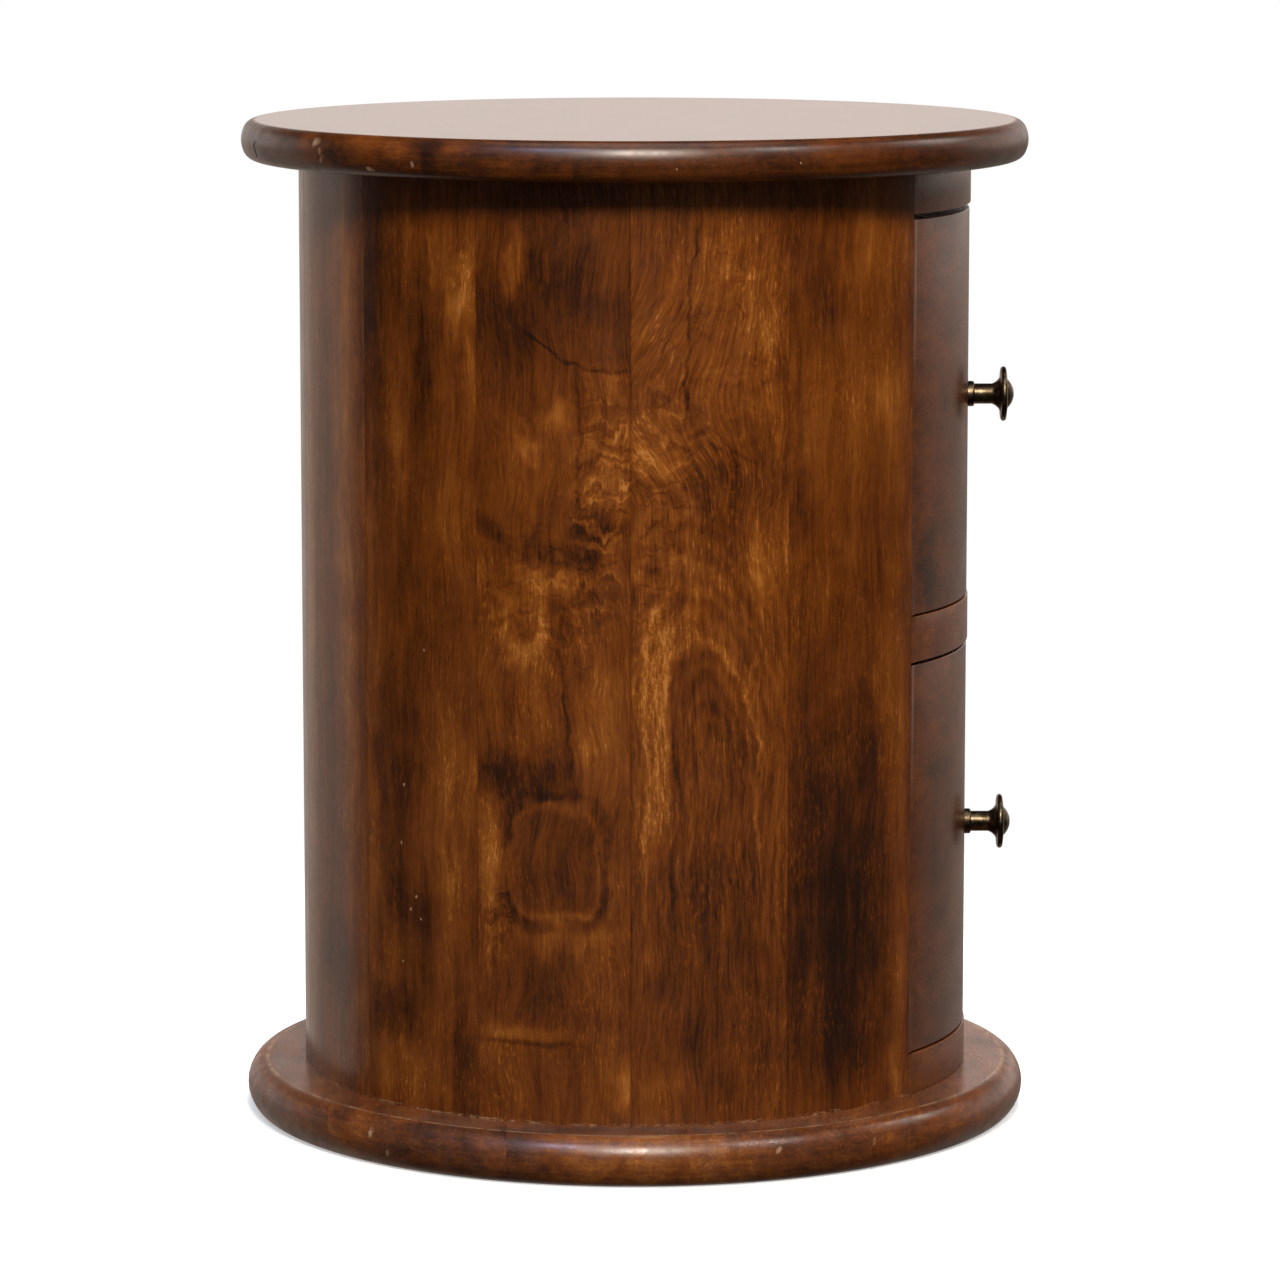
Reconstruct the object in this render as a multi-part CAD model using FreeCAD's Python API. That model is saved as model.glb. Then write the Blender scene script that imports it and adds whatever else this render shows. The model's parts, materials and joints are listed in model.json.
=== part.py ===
import FreeCAD, Part
import math
import os

from FreeCAD import Vector

# Drum chest: a coopered wooden drum on a round base, under a round top, with two bow-fronted
# drawers one above the other. Sizes are in millimetres. The origin is the centre of the
# underside of the base, +Z is up, and the drawers face and pull out towards -Y.

# Top and base, each glued up from boards that run along X
TOP_DIAMETER = 400.0
TOP_THICKNESS = 20.0
TOP_EDGE_ROUND = 8.0
TOP_BOARD_WIDTH = 83.5
TOP_BOARD_SHIFT = -12.25
BASE_DIAMETER = 402.0
BASE_THICKNESS = 25.0
BASE_EDGE_ROUND = 9.0
BASE_BOARD_WIDTH = 90.0
BASE_BOARD_SHIFT = 18.0
BOARD_COUNT = 5
RIM_SHARE = 0.45

# Coopered drum wall, with its opening for the drawers. Staves are of mixed widths, given from the opening
# round to the back, alike on both sides and drawn in to fill the round.
DRUM_DIAMETER = 342.0
SIDE_STAVE_WIDTHS = (82.0, 80.0, 78.0, 73.0, 77.0)
BACK_STAVE_WIDTH = 77.0
STAVE_THICKNESS = 22.0
STAVE_ARRIS = 0.2
OPENING_WIDTH = 203.0

# Rails and drawer openings, from the base upwards
BOTTOM_RAIL_HEIGHT = 20.5
LOWER_OPENING_HEIGHT = 199.3
MIDDLE_RAIL_HEIGHT = 23.0
UPPER_OPENING_HEIGHT = 200.5
TOP_RAIL_HEIGHT = 21.7

# Runners, guides and stops inside the drum
RUNNER_SHELF = 18.0
GUIDE_THICKNESS = 10.0
GUIDE_HEIGHT = 20.0
STOP_WIDTH = 24.0
STOP_DEPTH = 20.0
STOP_HEIGHT = 5.0
STOP_SPACING = 90.0
RAIL_EASE = 0.4

# Drawers
DRAWER_SIDE_GAP = 0.6
DRAWER_BACK_GAP = 2.0
FRONT_BOTTOM_GAP = 0.8
LOWER_FRONT_TOP_GAP = 1.5
UPPER_FRONT_TOP_GAP = 2.7
FRONT_INSET = 0.6
FRONT_THICKNESS = 20.0
SIDE_THICKNESS = 12.0
SIDE_DROP = 5.0
BACK_THICKNESS = 12.0
BACK_DROP = 10.0
PANEL_THICKNESS = 6.0
PANEL_RISE = 8.0
GROOVE_DEPTH = 5.0
FRONT_EASE = 0.6
BOARD_ROUND = 2.0
TAIL_PITCH = 48.0
TAIL_SPACE = 20.0
TAIL_SLOPE = 1.0 / 6.0
TAIL_COVER = 6.0

# Turned brass knob, measured out from the drawer front, and its bolt
KNOB_RISE = 2.0
KNOB_COLLAR_DIAMETER = 13.0
KNOB_COLLAR_LENGTH = 3.4
KNOB_COLLAR_ROUND = 1.0
KNOB_NECK_DIAMETER = 10.4
KNOB_NECK_END = 12.4
KNOB_FLARE_RADIUS = 4.5
KNOB_RIM_DIAMETER = 28.0
KNOB_RIM_WIDTH = 2.8
KNOB_FACE_RISE = 0.7
KNOB_BUTTON_DIAMETER = 14.8
KNOB_BUTTON_HEIGHT = 3.3
BOLT_DIAMETER = 4.0
BOLT_HEAD_DIAMETER = 7.8
BOLT_HEAD_HEIGHT = 2.6
BOLT_SLOT_WIDTH = 1.0
BOLT_SLOT_DEPTH = 1.2
BOLT_IN_KNOB = 11.0
WASHER_DIAMETER = 11.0
WASHER_THICKNESS = 1.0

# Dowels, screws and pins
DOWEL_DIAMETER = 6.0
DOWEL_LENGTH = 32.0
DOWEL_COVER = 4.0
SCREW_DIAMETER = 4.0
SCREW_HEAD_DIAMETER = 8.0
SCREW_RECESS = 0.6
SCREW_IN_END_GRAIN = 35.0
SCREW_COVER = 8.0
RUNNER_SCREW_SPACING = 140.0
RUNNER_SCREW_INSET = 5.0
BACK_SCREW_SPACING = 36.0
PIN_DIAMETER = 1.8
PIN_HEAD_DIAMETER = 3.4
PIN_LENGTH = 20.0
PIN_SPACING = 60.0

# Clearances
RUNNING_GAP = 0.3
FIT_GAP = 0.1
GROOVE_GAP = 0.2

# Levels and radii that follow from the sizes above
top_radius = TOP_DIAMETER / 2
base_radius = BASE_DIAMETER / 2
drum_radius = DRUM_DIAMETER / 2
drum_low = BASE_THICKNESS
lower_floor = drum_low + BOTTOM_RAIL_HEIGHT
lower_ceiling = lower_floor + LOWER_OPENING_HEIGHT
upper_floor = lower_ceiling + MIDDLE_RAIL_HEIGHT
upper_ceiling = upper_floor + UPPER_OPENING_HEIGHT
drum_high = upper_ceiling + TOP_RAIL_HEIGHT

# Angles are counted from the front, towards +X
half_opening = OPENING_WIDTH / 2
opening_angle = math.asin(half_opening / drum_radius)
stave_widths = SIDE_STAVE_WIDTHS + (BACK_STAVE_WIDTH,) + SIDE_STAVE_WIDTHS[::-1]
angle_per_width = 2 * (math.pi - opening_angle) / sum(stave_widths)
stave_joints = [opening_angle + angle_per_width * sum(stave_widths[:number])
                for number in range(len(stave_widths) + 1)]
staves = list(zip(stave_joints, stave_joints[1:]))
stave_middles = [(start + end) / 2 for start, end in staves]
stave_flat = drum_radius - STAVE_THICKNESS
first_middle = stave_middles[0]
rail_back = (stave_flat - half_opening * math.sin(first_middle)) / math.cos(first_middle)

# The rear of the runners and the face of the back rail, where the runners' outer corners meet the wall
runner_outer = half_opening + GUIDE_THICKNESS
rear_walls = [
    (stave_flat - runner_outer * math.sin(middle)) / -math.cos(middle)
    for middle in stave_middles
    if math.cos(middle) < 0
]
back_rail_face = min(rear_walls)

# Plan sizes of the drawers
half_front = half_opening - DRAWER_SIDE_GAP
front_radius = drum_radius - FRONT_INSET
front_inner = front_radius - FRONT_THICKNESS
side_inner = half_front - SIDE_THICKNESS
shoulder = math.sqrt(front_inner ** 2 - side_inner ** 2)
front_edge = math.sqrt(front_radius ** 2 - half_front ** 2)
drawer_rear = back_rail_face - DRAWER_BACK_GAP

# Rail dowels run across the middle of the stave's free edge, and stay covered outside
dowel_reach = DOWEL_LENGTH / 2
rail_edge = math.sqrt(drum_radius ** 2 - half_opening ** 2)
dowel_line = (rail_edge + rail_back) / 2
dowel_end = math.sqrt(drum_radius ** 2 - (dowel_line + DOWEL_DIAMETER / 2) ** 2) - DOWEL_COVER


def around(angle, radius, height=0.0):
    return Vector(radius * math.sin(angle), -radius * math.cos(angle), height)


def single(shape):
    """The one solid of a boolean result, with its faces joined where they run on."""
    solids = shape.removeSplitter().Solids
    if len(solids) == 1:
        return solids[0]
    return Part.makeCompound(solids)


def block(x_span, y_span, z_span):
    low = Vector(min(x_span), min(y_span), min(z_span))
    high = Vector(max(x_span), max(y_span), max(z_span))
    size = high - low
    return Part.makeBox(size.x, size.y, size.z, low)


def rod(radius, start, end):
    return Part.makeCylinder(radius, (end - start).Length, start, end - start)


def upright(edges, low, high):
    """A solid standing on a closed outline of edges drawn at height zero."""
    face = Part.Face(Part.Wire(edges))
    face.translate(Vector(0, 0, low))
    return face.extrude(Vector(0, 0, high - low))


def polygon(points):
    closed = points + points[:1]
    return [Part.makeLine(start, end) for start, end in zip(closed, closed[1:])]


def arc(start, middle, end):
    return Part.Arc(start, middle, end).toShape()


def turned(edges, start, direction):
    """A solid turned from half a section, drawn in X and Z beside the Z axis."""
    solid = Part.Face(Part.Wire(edges)).revolve(Vector(0, 0, 0), Vector(0, 0, 1), 360)
    turn = FreeCAD.Rotation(Vector(0, 0, 1), direction)
    solid.Placement = FreeCAD.Placement(start, turn)
    return solid


def eased(solid, radius, chosen):
    """The solid with the chosen edges rounded."""
    return solid.makeFillet(radius, [edge for edge in solid.Edges if chosen(edge)])


def lies_at(edge, radius):
    return all(abs(math.hypot(end.X, end.Y) - radius) < FIT_GAP for end in edge.Vertexes)


def lies_level(edge, height):
    return all(abs(end.Z - height) < FIT_GAP for end in edge.Vertexes)


def drilled(solid, tools):
    """The solid with every tool cut out of it that reaches it."""
    near = [tool for tool in tools if solid.BoundBox.intersect(tool.BoundBox)]
    if not near:
        return solid
    return single(solid.cut(near))


def save(name, shape):
    shape.exportStep(os.path.join("parts", name + ".step"))


# Fasteners. A screw starts at the flat of its head and points along its direction. Its hole has a
# gap all round and room over the head, so that the head lies below the face.
def screw(start, direction, length, diameter=SCREW_DIAMETER, head=SCREW_HEAD_DIAMETER):
    section = [
        Vector(0, 0, 0),
        Vector(head / 2, 0, 0),
        Vector(diameter / 2, 0, (head - diameter) / 2),
        Vector(diameter / 2, 0, length - diameter),
        Vector(0, 0, length),
    ]
    return turned(polygon(section), start, direction)


def screw_hole(start, direction, length, diameter=SCREW_DIAMETER, head=SCREW_HEAD_DIAMETER):
    section = [
        Vector(0, 0, -SCREW_RECESS),
        Vector(head / 2 + FIT_GAP, 0, -SCREW_RECESS),
        Vector(head / 2 + FIT_GAP, 0, 0),
        Vector(diameter / 2 + FIT_GAP, 0, (head - diameter) / 2),
        Vector(diameter / 2 + FIT_GAP, 0, length + FIT_GAP),
        Vector(0, 0, length + FIT_GAP),
    ]
    return turned(polygon(section), start, direction)


def dowel(middle, along):
    reach = along * dowel_reach
    return rod(DOWEL_DIAMETER / 2, middle - reach, middle + reach)


def dowel_hole(middle, along):
    reach = along * (dowel_reach + FIT_GAP)
    return rod(DOWEL_DIAMETER / 2 + FIT_GAP, middle - reach, middle + reach)


# Where the fasteners go. Each list holds the arguments that a fastener and its hole share. Dowels that
# cross in a rail lie at a quarter of its height from opposite faces.
def quarter(near, far):
    return near + (far - near) / 4


def rail_dowel_places():
    places = []
    for low, high in rail_levels:
        for side in (-1, 1):
            middle = Vector(side * (dowel_end - dowel_reach), -dowel_line, quarter(high, low))
            places.append((middle, Vector(1, 0, 0)))
    return places


def runner_dowel_places():
    places = []
    for side in (-1, 1):
        x = side * (half_opening - RUNNER_SHELF / 2)
        for low, high in rail_levels:
            places.append((Vector(x, -rail_back, quarter(low, high)), Vector(0, 1, 0)))
        z = quarter(lower_ceiling, upper_floor)
        places.append((Vector(x, back_rail_face, z), Vector(0, 1, 0)))
    return places


def stave_screw_places():
    radius = drum_radius - STAVE_THICKNESS / 2
    length = BASE_THICKNESS - SCREW_RECESS + SCREW_IN_END_GRAIN
    return [(around(angle, radius, SCREW_RECESS), Vector(0, 0, 1), length) for angle in stave_middles]


def runner_screw_places(head_height, direction, length):
    places = []
    for side in (-1, 1):
        x = side * (half_opening - RUNNER_SHELF + RUNNER_SCREW_INSET)
        for end in (-1, 1):
            y = end * RUNNER_SCREW_SPACING / 2
            places.append((Vector(x, y, head_height), Vector(0, 0, direction), length))
    return places


def back_screw_places():
    length = drum_radius - SCREW_COVER - back_rail_face - SCREW_RECESS
    y = back_rail_face + SCREW_RECESS
    z = (lower_ceiling + upper_floor) / 2
    spots = [-BACK_SCREW_SPACING / 2, BACK_SCREW_SPACING / 2]
    return [(Vector(x, y, z), Vector(0, 1, 0), length) for x in spots]


rail_levels = [(drum_low, lower_floor), (lower_ceiling, upper_floor), (upper_ceiling, drum_high)]
rail_dowels = rail_dowel_places()
runner_dowels = runner_dowel_places()
stave_screws = stave_screw_places()
base_screws = runner_screw_places(
    lower_floor - SCREW_RECESS, -1, lower_floor - SCREW_RECESS - SCREW_COVER)
top_screws = runner_screw_places(
    upper_ceiling + SCREW_RECESS, 1, TOP_RAIL_HEIGHT + TOP_THICKNESS - SCREW_RECESS - SCREW_COVER)
back_screws = back_screw_places()

dowel_holes = [dowel_hole(*place) for place in rail_dowels + runner_dowels]
screw_holes = [screw_hole(*place) for place in stave_screws + base_screws + top_screws + back_screws]
carcass_holes = dowel_holes + screw_holes


# Top and base: discs with a rounded rim, glued up from boards of one width. The outermost two are
# what the round leaves of theirs.
def rimmed_disc(radius, thickness, rounding, low):
    edge_round = min(rounding, thickness * RIM_SHARE)
    bend = edge_round * (1 - math.sqrt(0.5))
    high = low + thickness
    flat = radius - edge_round
    section = [
        Part.makeLine(Vector(0, 0, low), Vector(flat, 0, low)),
        arc(
            Vector(flat, 0, low),
            Vector(radius - bend, 0, low + bend),
            Vector(radius, 0, low + edge_round)),
        Part.makeLine(Vector(radius, 0, low + edge_round), Vector(radius, 0, high - edge_round)),
        arc(
            Vector(radius, 0, high - edge_round),
            Vector(radius - bend, 0, high - bend),
            Vector(flat, 0, high)),
        Part.makeLine(Vector(flat, 0, high), Vector(0, 0, high)),
        Part.makeLine(Vector(0, 0, high), Vector(0, 0, low)),
    ]
    return turned(section, Vector(0, 0, 0), Vector(0, 0, 1))


def boards(name, disc, radius, width, shift):
    joints = [shift + (step - BOARD_COUNT / 2) * width for step in range(1, BOARD_COUNT)]
    edges = [-radius] + joints + [radius]
    z_span = (disc.BoundBox.ZMin, disc.BoundBox.ZMax)
    for number, y_span in enumerate(zip(edges, edges[1:]), 1):
        strip = block((-radius, radius), y_span, z_span)
        save(f"{name}_board_{number}", drilled(single(disc.common(strip)), carcass_holes))


def top_and_base():
    top = rimmed_disc(top_radius, TOP_THICKNESS, TOP_EDGE_ROUND, drum_high)
    boards("top", top, top_radius, TOP_BOARD_WIDTH, TOP_BOARD_SHIFT)
    base = rimmed_disc(base_radius, BASE_THICKNESS, BASE_EDGE_ROUND, 0)
    boards("base", base, base_radius, BASE_BOARD_WIDTH, BASE_BOARD_SHIFT)


# Drum wall: staves with radial joints, a round outer face and a flat inner face. The two beside the
# opening are cut square to the front, so that the drawers slide past a straight edge.
def inner_corner(joint, stave_angle):
    return around(joint, stave_flat / math.cos(stave_angle / 2))


def stave(start, end):
    ease = STAVE_ARRIS / drum_radius
    outer = drum_radius - STAVE_ARRIS
    first = around(start + ease, drum_radius)
    last = around(end - ease, drum_radius)
    corners = [
        last,
        around(end, outer),
        inner_corner(end, end - start),
        inner_corner(start, end - start),
        around(start, outer),
        first,
    ]
    edges = [Part.makeLine(one, two) for one, two in zip(corners, corners[1:])]
    edges.append(arc(first, around((start + end) / 2, drum_radius), last))
    return upright(edges, drum_low, drum_high)


def drum_wall():
    opening = block((-half_opening, half_opening), (-drum_radius, 0), (drum_low, drum_high))
    for number, joints in enumerate(staves, 1):
        save(f"stave_{number:02d}", drilled(stave(*joints), carcass_holes + [opening]))


# Rails: boards across the opening, sawn to the drum's curve in front and straight behind.
def rail(low, high):
    left = Vector(-half_opening, -rail_edge, 0)
    right = Vector(half_opening, -rail_edge, 0)
    back = [right, Vector(half_opening, -rail_back, 0), Vector(-half_opening, -rail_back, 0), left]
    edges = [Part.makeLine(one, two) for one, two in zip(back, back[1:])]
    edges.append(arc(left, Vector(0, -drum_radius, 0), right))
    free = [level for level in (low, high) if drum_low < level < drum_high]
    return eased(
        upright(edges, low, high),
        RAIL_EASE,
        lambda edge: lies_at(edge, drum_radius) and any(lies_level(edge, level) for level in free))


def drum_inside(low, high):
    angles = [end - start for start, end in staves]
    neighbours = zip(stave_joints[1:], angles, angles[1:])
    corners = [inner_corner(joint, min(before, after)) for joint, before, after in neighbours]
    front = [Vector(-half_opening, -rail_back, 0), Vector(half_opening, -rail_back, 0)]
    return upright(polygon(front + corners), low, high)


def rails():
    for name, level in zip(("bottom_rail", "middle_rail", "top_rail"), rail_levels):
        save(name, drilled(rail(*level), carcass_holes))
    room = drum_inside(lower_ceiling, upper_floor)
    behind = block(
        (-drum_radius, drum_radius), (back_rail_face, drum_radius), (lower_ceiling, upper_floor))
    save("back_rail", drilled(single(room.common(behind)), carcass_holes))


# Runners carry the drawer sides, and the top pair keeps the upper drawer from tipping. Guides stand
# on the runners, outside the drawers.
def lengthwise(side, x_span, low, high):
    strip = block([side * x for x in x_span], (-rail_back, back_rail_face), (low, high))
    return drilled(single(strip.common(drum_inside(low, high))), carcass_holes)


def runners():
    runner = (half_opening - RUNNER_SHELF, runner_outer)
    guide = (half_opening, runner_outer)
    for hand, side in (("left", -1), ("right", 1)):
        for name, level in zip(("bottom_runner", "middle_runner", "top_kicker"), rail_levels):
            save(f"{name}_{hand}", lengthwise(side, runner, *level))
        for name, floor in (("lower_guide", lower_floor), ("upper_guide", upper_floor)):
            save(f"{name}_{hand}", lengthwise(side, guide, floor, floor + GUIDE_HEIGHT))


# Stops: small blocks on the two lower rails, curved to meet the back of the drawer front.
def stops():
    blocks = []
    for floor in (lower_floor, upper_floor):
        heel = Vector(0, 0, floor)
        outer = Part.makeCylinder(front_inner - RUNNING_GAP, STOP_HEIGHT, heel)
        ring = outer.cut(Part.makeCylinder(front_inner - RUNNING_GAP - STOP_DEPTH, STOP_HEIGHT, heel))
        for side in (-1, 1):
            middle = side * STOP_SPACING / 2
            x_span = (middle - STOP_WIDTH / 2, middle + STOP_WIDTH / 2)
            z_span = (floor, floor + STOP_HEIGHT)
            blocks.append(single(ring.common(block(x_span, (-drum_radius, 0), z_span))))
    save("drawer_stops", Part.makeCompound(blocks))


def carcass_fasteners():
    dowels = [dowel(*place) for place in rail_dowels + runner_dowels]
    save("frame_dowels", Part.makeCompound(dowels))
    groups = {
        "stave_screws": stave_screws,
        "runner_screws": base_screws,
        "top_screws": top_screws,
        "back_rail_screws": back_screws,
    }
    for name, places in groups.items():
        save(name, Part.makeCompound([screw(*place) for place in places]))


# One drawer: a bow front with concave back, dovetailed sides and back, and a panel in grooves.
def tails(side, neck, end, low, high):
    """Dovetails of one side, which widen from the neck line to the end line."""
    count = max(1, round((high - low) / TAIL_PITCH))
    pitch = (high - low) / count
    wide = (pitch - TAIL_SPACE) / 2
    narrow = wide - abs(end - neck) * TAIL_SLOPE
    inner = side * side_inner
    forms = []
    for step in range(count):
        middle = low + (step + 0.5) * pitch
        corners = [
            Vector(inner, neck, middle - narrow),
            Vector(inner, end, middle - wide),
            Vector(inner, end, middle + wide),
            Vector(inner, neck, middle + narrow),
        ]
        face = Part.Face(Part.Wire(polygon(corners)))
        forms.append(face.extrude(Vector(side * SIDE_THICKNESS, 0, 0)))
    return forms


def front_blank(low, high):
    outer_left = Vector(-half_front, -front_edge, 0)
    outer_right = Vector(half_front, -front_edge, 0)
    back_left = Vector(-half_front, -shoulder, 0)
    back_right = Vector(half_front, -shoulder, 0)
    inner_left = Vector(-side_inner, -shoulder, 0)
    inner_right = Vector(side_inner, -shoulder, 0)
    edges = [
        arc(outer_left, Vector(0, -front_radius, 0), outer_right),
        Part.makeLine(outer_right, back_right),
        Part.makeLine(back_right, inner_right),
        arc(inner_right, Vector(0, -front_inner, 0), inner_left),
        Part.makeLine(inner_left, back_left),
        Part.makeLine(back_left, outer_left),
    ]
    return eased(upright(edges, low, high), FRONT_EASE, lambda edge: lies_at(edge, front_radius))


def rounded_board(x_span, y_span, z_span):
    return eased(
        block(x_span, y_span, z_span),
        BOARD_ROUND,
        lambda edge: lies_level(edge, max(z_span)) and edge.Length > SIDE_THICKNESS + BACK_THICKNESS)


def bottom_blank(gap, low, high, rear):
    bow = Part.makeCylinder(front_inner + GROOVE_DEPTH - gap, high - low, Vector(0, 0, low))
    half = side_inner + GROOVE_DEPTH - gap
    return single(bow.common(block((-half, half), (-drum_radius, rear), (low, high))))


def knob(seat):
    collar = KNOB_COLLAR_DIAMETER / 2
    neck = KNOB_NECK_DIAMETER / 2
    rim = KNOB_RIM_DIAMETER / 2
    button = KNOB_BUTTON_DIAMETER / 2
    bend = 1 - math.sqrt(0.5)

    collar_round = collar - KNOB_COLLAR_ROUND
    collar_side = KNOB_COLLAR_LENGTH - KNOB_COLLAR_ROUND
    flare_end = neck + KNOB_FLARE_RADIUS
    rim_low = KNOB_NECK_END + KNOB_FLARE_RADIUS
    rim_high = rim_low + KNOB_RIM_WIDTH
    rim_flat = rim - KNOB_RIM_WIDTH / 2
    button_low = rim_high + KNOB_FACE_RISE
    tip = button_low + KNOB_BUTTON_HEIGHT
    ball = (button ** 2 + KNOB_BUTTON_HEIGHT ** 2) / (2 * KNOB_BUTTON_HEIGHT)
    button_mid = Vector(button / 2, 0, tip - ball + math.sqrt(ball ** 2 - (button / 2) ** 2))

    collar_bend = Vector(
        collar - KNOB_COLLAR_ROUND * bend, 0, KNOB_COLLAR_LENGTH - KNOB_COLLAR_ROUND * bend)
    flare_bend = Vector(neck + KNOB_FLARE_RADIUS * bend, 0, rim_low - KNOB_FLARE_RADIUS * bend)
    section = [
        Part.makeLine(Vector(0, 0, 0), Vector(collar, 0, 0)),
        Part.makeLine(Vector(collar, 0, 0), Vector(collar, 0, collar_side)),
        arc(Vector(collar, 0, collar_side), collar_bend, Vector(collar_round, 0, KNOB_COLLAR_LENGTH)),
        Part.makeLine(Vector(collar_round, 0, KNOB_COLLAR_LENGTH), Vector(neck, 0, KNOB_COLLAR_LENGTH)),
        Part.makeLine(Vector(neck, 0, KNOB_COLLAR_LENGTH), Vector(neck, 0, KNOB_NECK_END)),
        arc(Vector(neck, 0, KNOB_NECK_END), flare_bend, Vector(flare_end, 0, rim_low)),
        Part.makeLine(Vector(flare_end, 0, rim_low), Vector(rim_flat, 0, rim_low)),
        arc(
            Vector(rim_flat, 0, rim_low),
            Vector(rim, 0, (rim_low + rim_high) / 2),
            Vector(rim_flat, 0, rim_high)),
        Part.makeLine(Vector(rim_flat, 0, rim_high), Vector(button, 0, button_low)),
        arc(Vector(button, 0, button_low), button_mid, Vector(0, 0, tip)),
        Part.makeLine(Vector(0, 0, tip), Vector(0, 0, 0)),
    ]
    return turned(section, seat, Vector(0, -1, 0))


def knob_bolt(seat, thread_end):
    head = rod(BOLT_HEAD_DIAMETER / 2, seat, seat + Vector(0, BOLT_HEAD_HEIGHT, 0))
    slot_low = seat + Vector(0, BOLT_HEAD_HEIGHT - BOLT_SLOT_DEPTH, 0)
    slot = block(
        (-BOLT_HEAD_DIAMETER, BOLT_HEAD_DIAMETER),
        (slot_low.y, slot_low.y + BOLT_SLOT_DEPTH),
        (seat.z - BOLT_SLOT_WIDTH / 2, seat.z + BOLT_SLOT_WIDTH / 2))
    return single(head.cut(slot).fuse(rod(BOLT_DIAMETER / 2, seat, thread_end)))


def drawer(name, floor, ceiling, top_gap):
    front_low = floor + FRONT_BOTTOM_GAP
    front_high = ceiling - top_gap
    side_low = floor + RUNNING_GAP
    side_high = front_high - SIDE_DROP
    panel_low = side_low + PANEL_RISE
    panel_high = panel_low + PANEL_THICKNESS
    back_high = side_high - BACK_DROP
    back_face = drawer_rear - BACK_THICKNESS
    knob_height = (front_low + front_high) / 2 + KNOB_RISE

    knob_seat = Vector(0, -front_radius, knob_height)
    washer_seat = Vector(0, -front_inner - WASHER_THICKNESS, knob_height)
    bolt_seat = Vector(0, -front_inner, knob_height)
    bolt_end = knob_seat - Vector(0, BOLT_IN_KNOB, 0)
    bolt_hole = rod(BOLT_DIAMETER / 2 + FIT_GAP, bolt_seat, bolt_end - Vector(0, FIT_GAP, 0))
    washer_room = rod(
        WASHER_DIAMETER / 2 + FIT_GAP, washer_seat, bolt_seat + Vector(0, WASHER_THICKNESS, 0))

    groove = bottom_blank(0, panel_low, panel_high + GROOVE_GAP, drum_radius)
    front_cuts = [groove, bolt_hole, washer_room]
    back_cuts = []
    for hand, side in (("left", -1), ("right", 1)):
        front_tails = tails(side, -shoulder, TAIL_COVER - front_edge, side_low, side_high)
        rear_tails = tails(side, back_face, drawer_rear, panel_high, back_high)
        front_cuts += front_tails
        back_cuts += rear_tails
        x_span = (side * side_inner, side * half_front)
        board = rounded_board(x_span, (-shoulder, drawer_rear), (side_low, side_high))
        corner = block(x_span, (back_face, drawer_rear), (panel_high, back_high))
        board = board.cut(corner.cut(rear_tails)).fuse(front_tails).cut(groove)
        save(f"{name}_drawer_{hand}_side", single(board))
    save(f"{name}_drawer_front", single(front_blank(front_low, front_high).cut(front_cuts)))

    pins = []
    pin_holes = []
    for x in (-PIN_SPACING, 0, PIN_SPACING):
        spot = Vector(x, drawer_rear - BACK_THICKNESS / 2, panel_low + SCREW_RECESS)
        sizes = (spot, Vector(0, 0, 1), PIN_LENGTH, PIN_DIAMETER, PIN_HEAD_DIAMETER)
        pins.append(screw(*sizes))
        pin_holes.append(screw_hole(*sizes))
    back = rounded_board((-half_front, half_front), (back_face, drawer_rear), (panel_high, back_high))
    save(f"{name}_drawer_back", single(back.cut(back_cuts + pin_holes)))
    panel = bottom_blank(GROOVE_GAP, panel_low, panel_high, drawer_rear)
    save(f"{name}_drawer_bottom", single(panel.cut(pin_holes)))
    save(f"{name}_drawer_pins", Part.makeCompound(pins))

    save(f"{name}_knob", single(knob(knob_seat).cut(bolt_hole)))
    save(f"{name}_knob_bolt", knob_bolt(bolt_seat, bolt_end))
    washer = rod(WASHER_DIAMETER / 2, washer_seat, bolt_seat)
    save(f"{name}_knob_washer", single(washer.cut(bolt_hole)))


os.makedirs("parts", exist_ok=True)
top_and_base()
drum_wall()
rails()
runners()
stops()
carcass_fasteners()
drawer("lower", lower_floor, lower_ceiling, LOWER_FRONT_TOP_GAP)
drawer("upper", upper_floor, upper_ceiling, UPPER_FRONT_TOP_GAP)
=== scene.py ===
import json
import math

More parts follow.
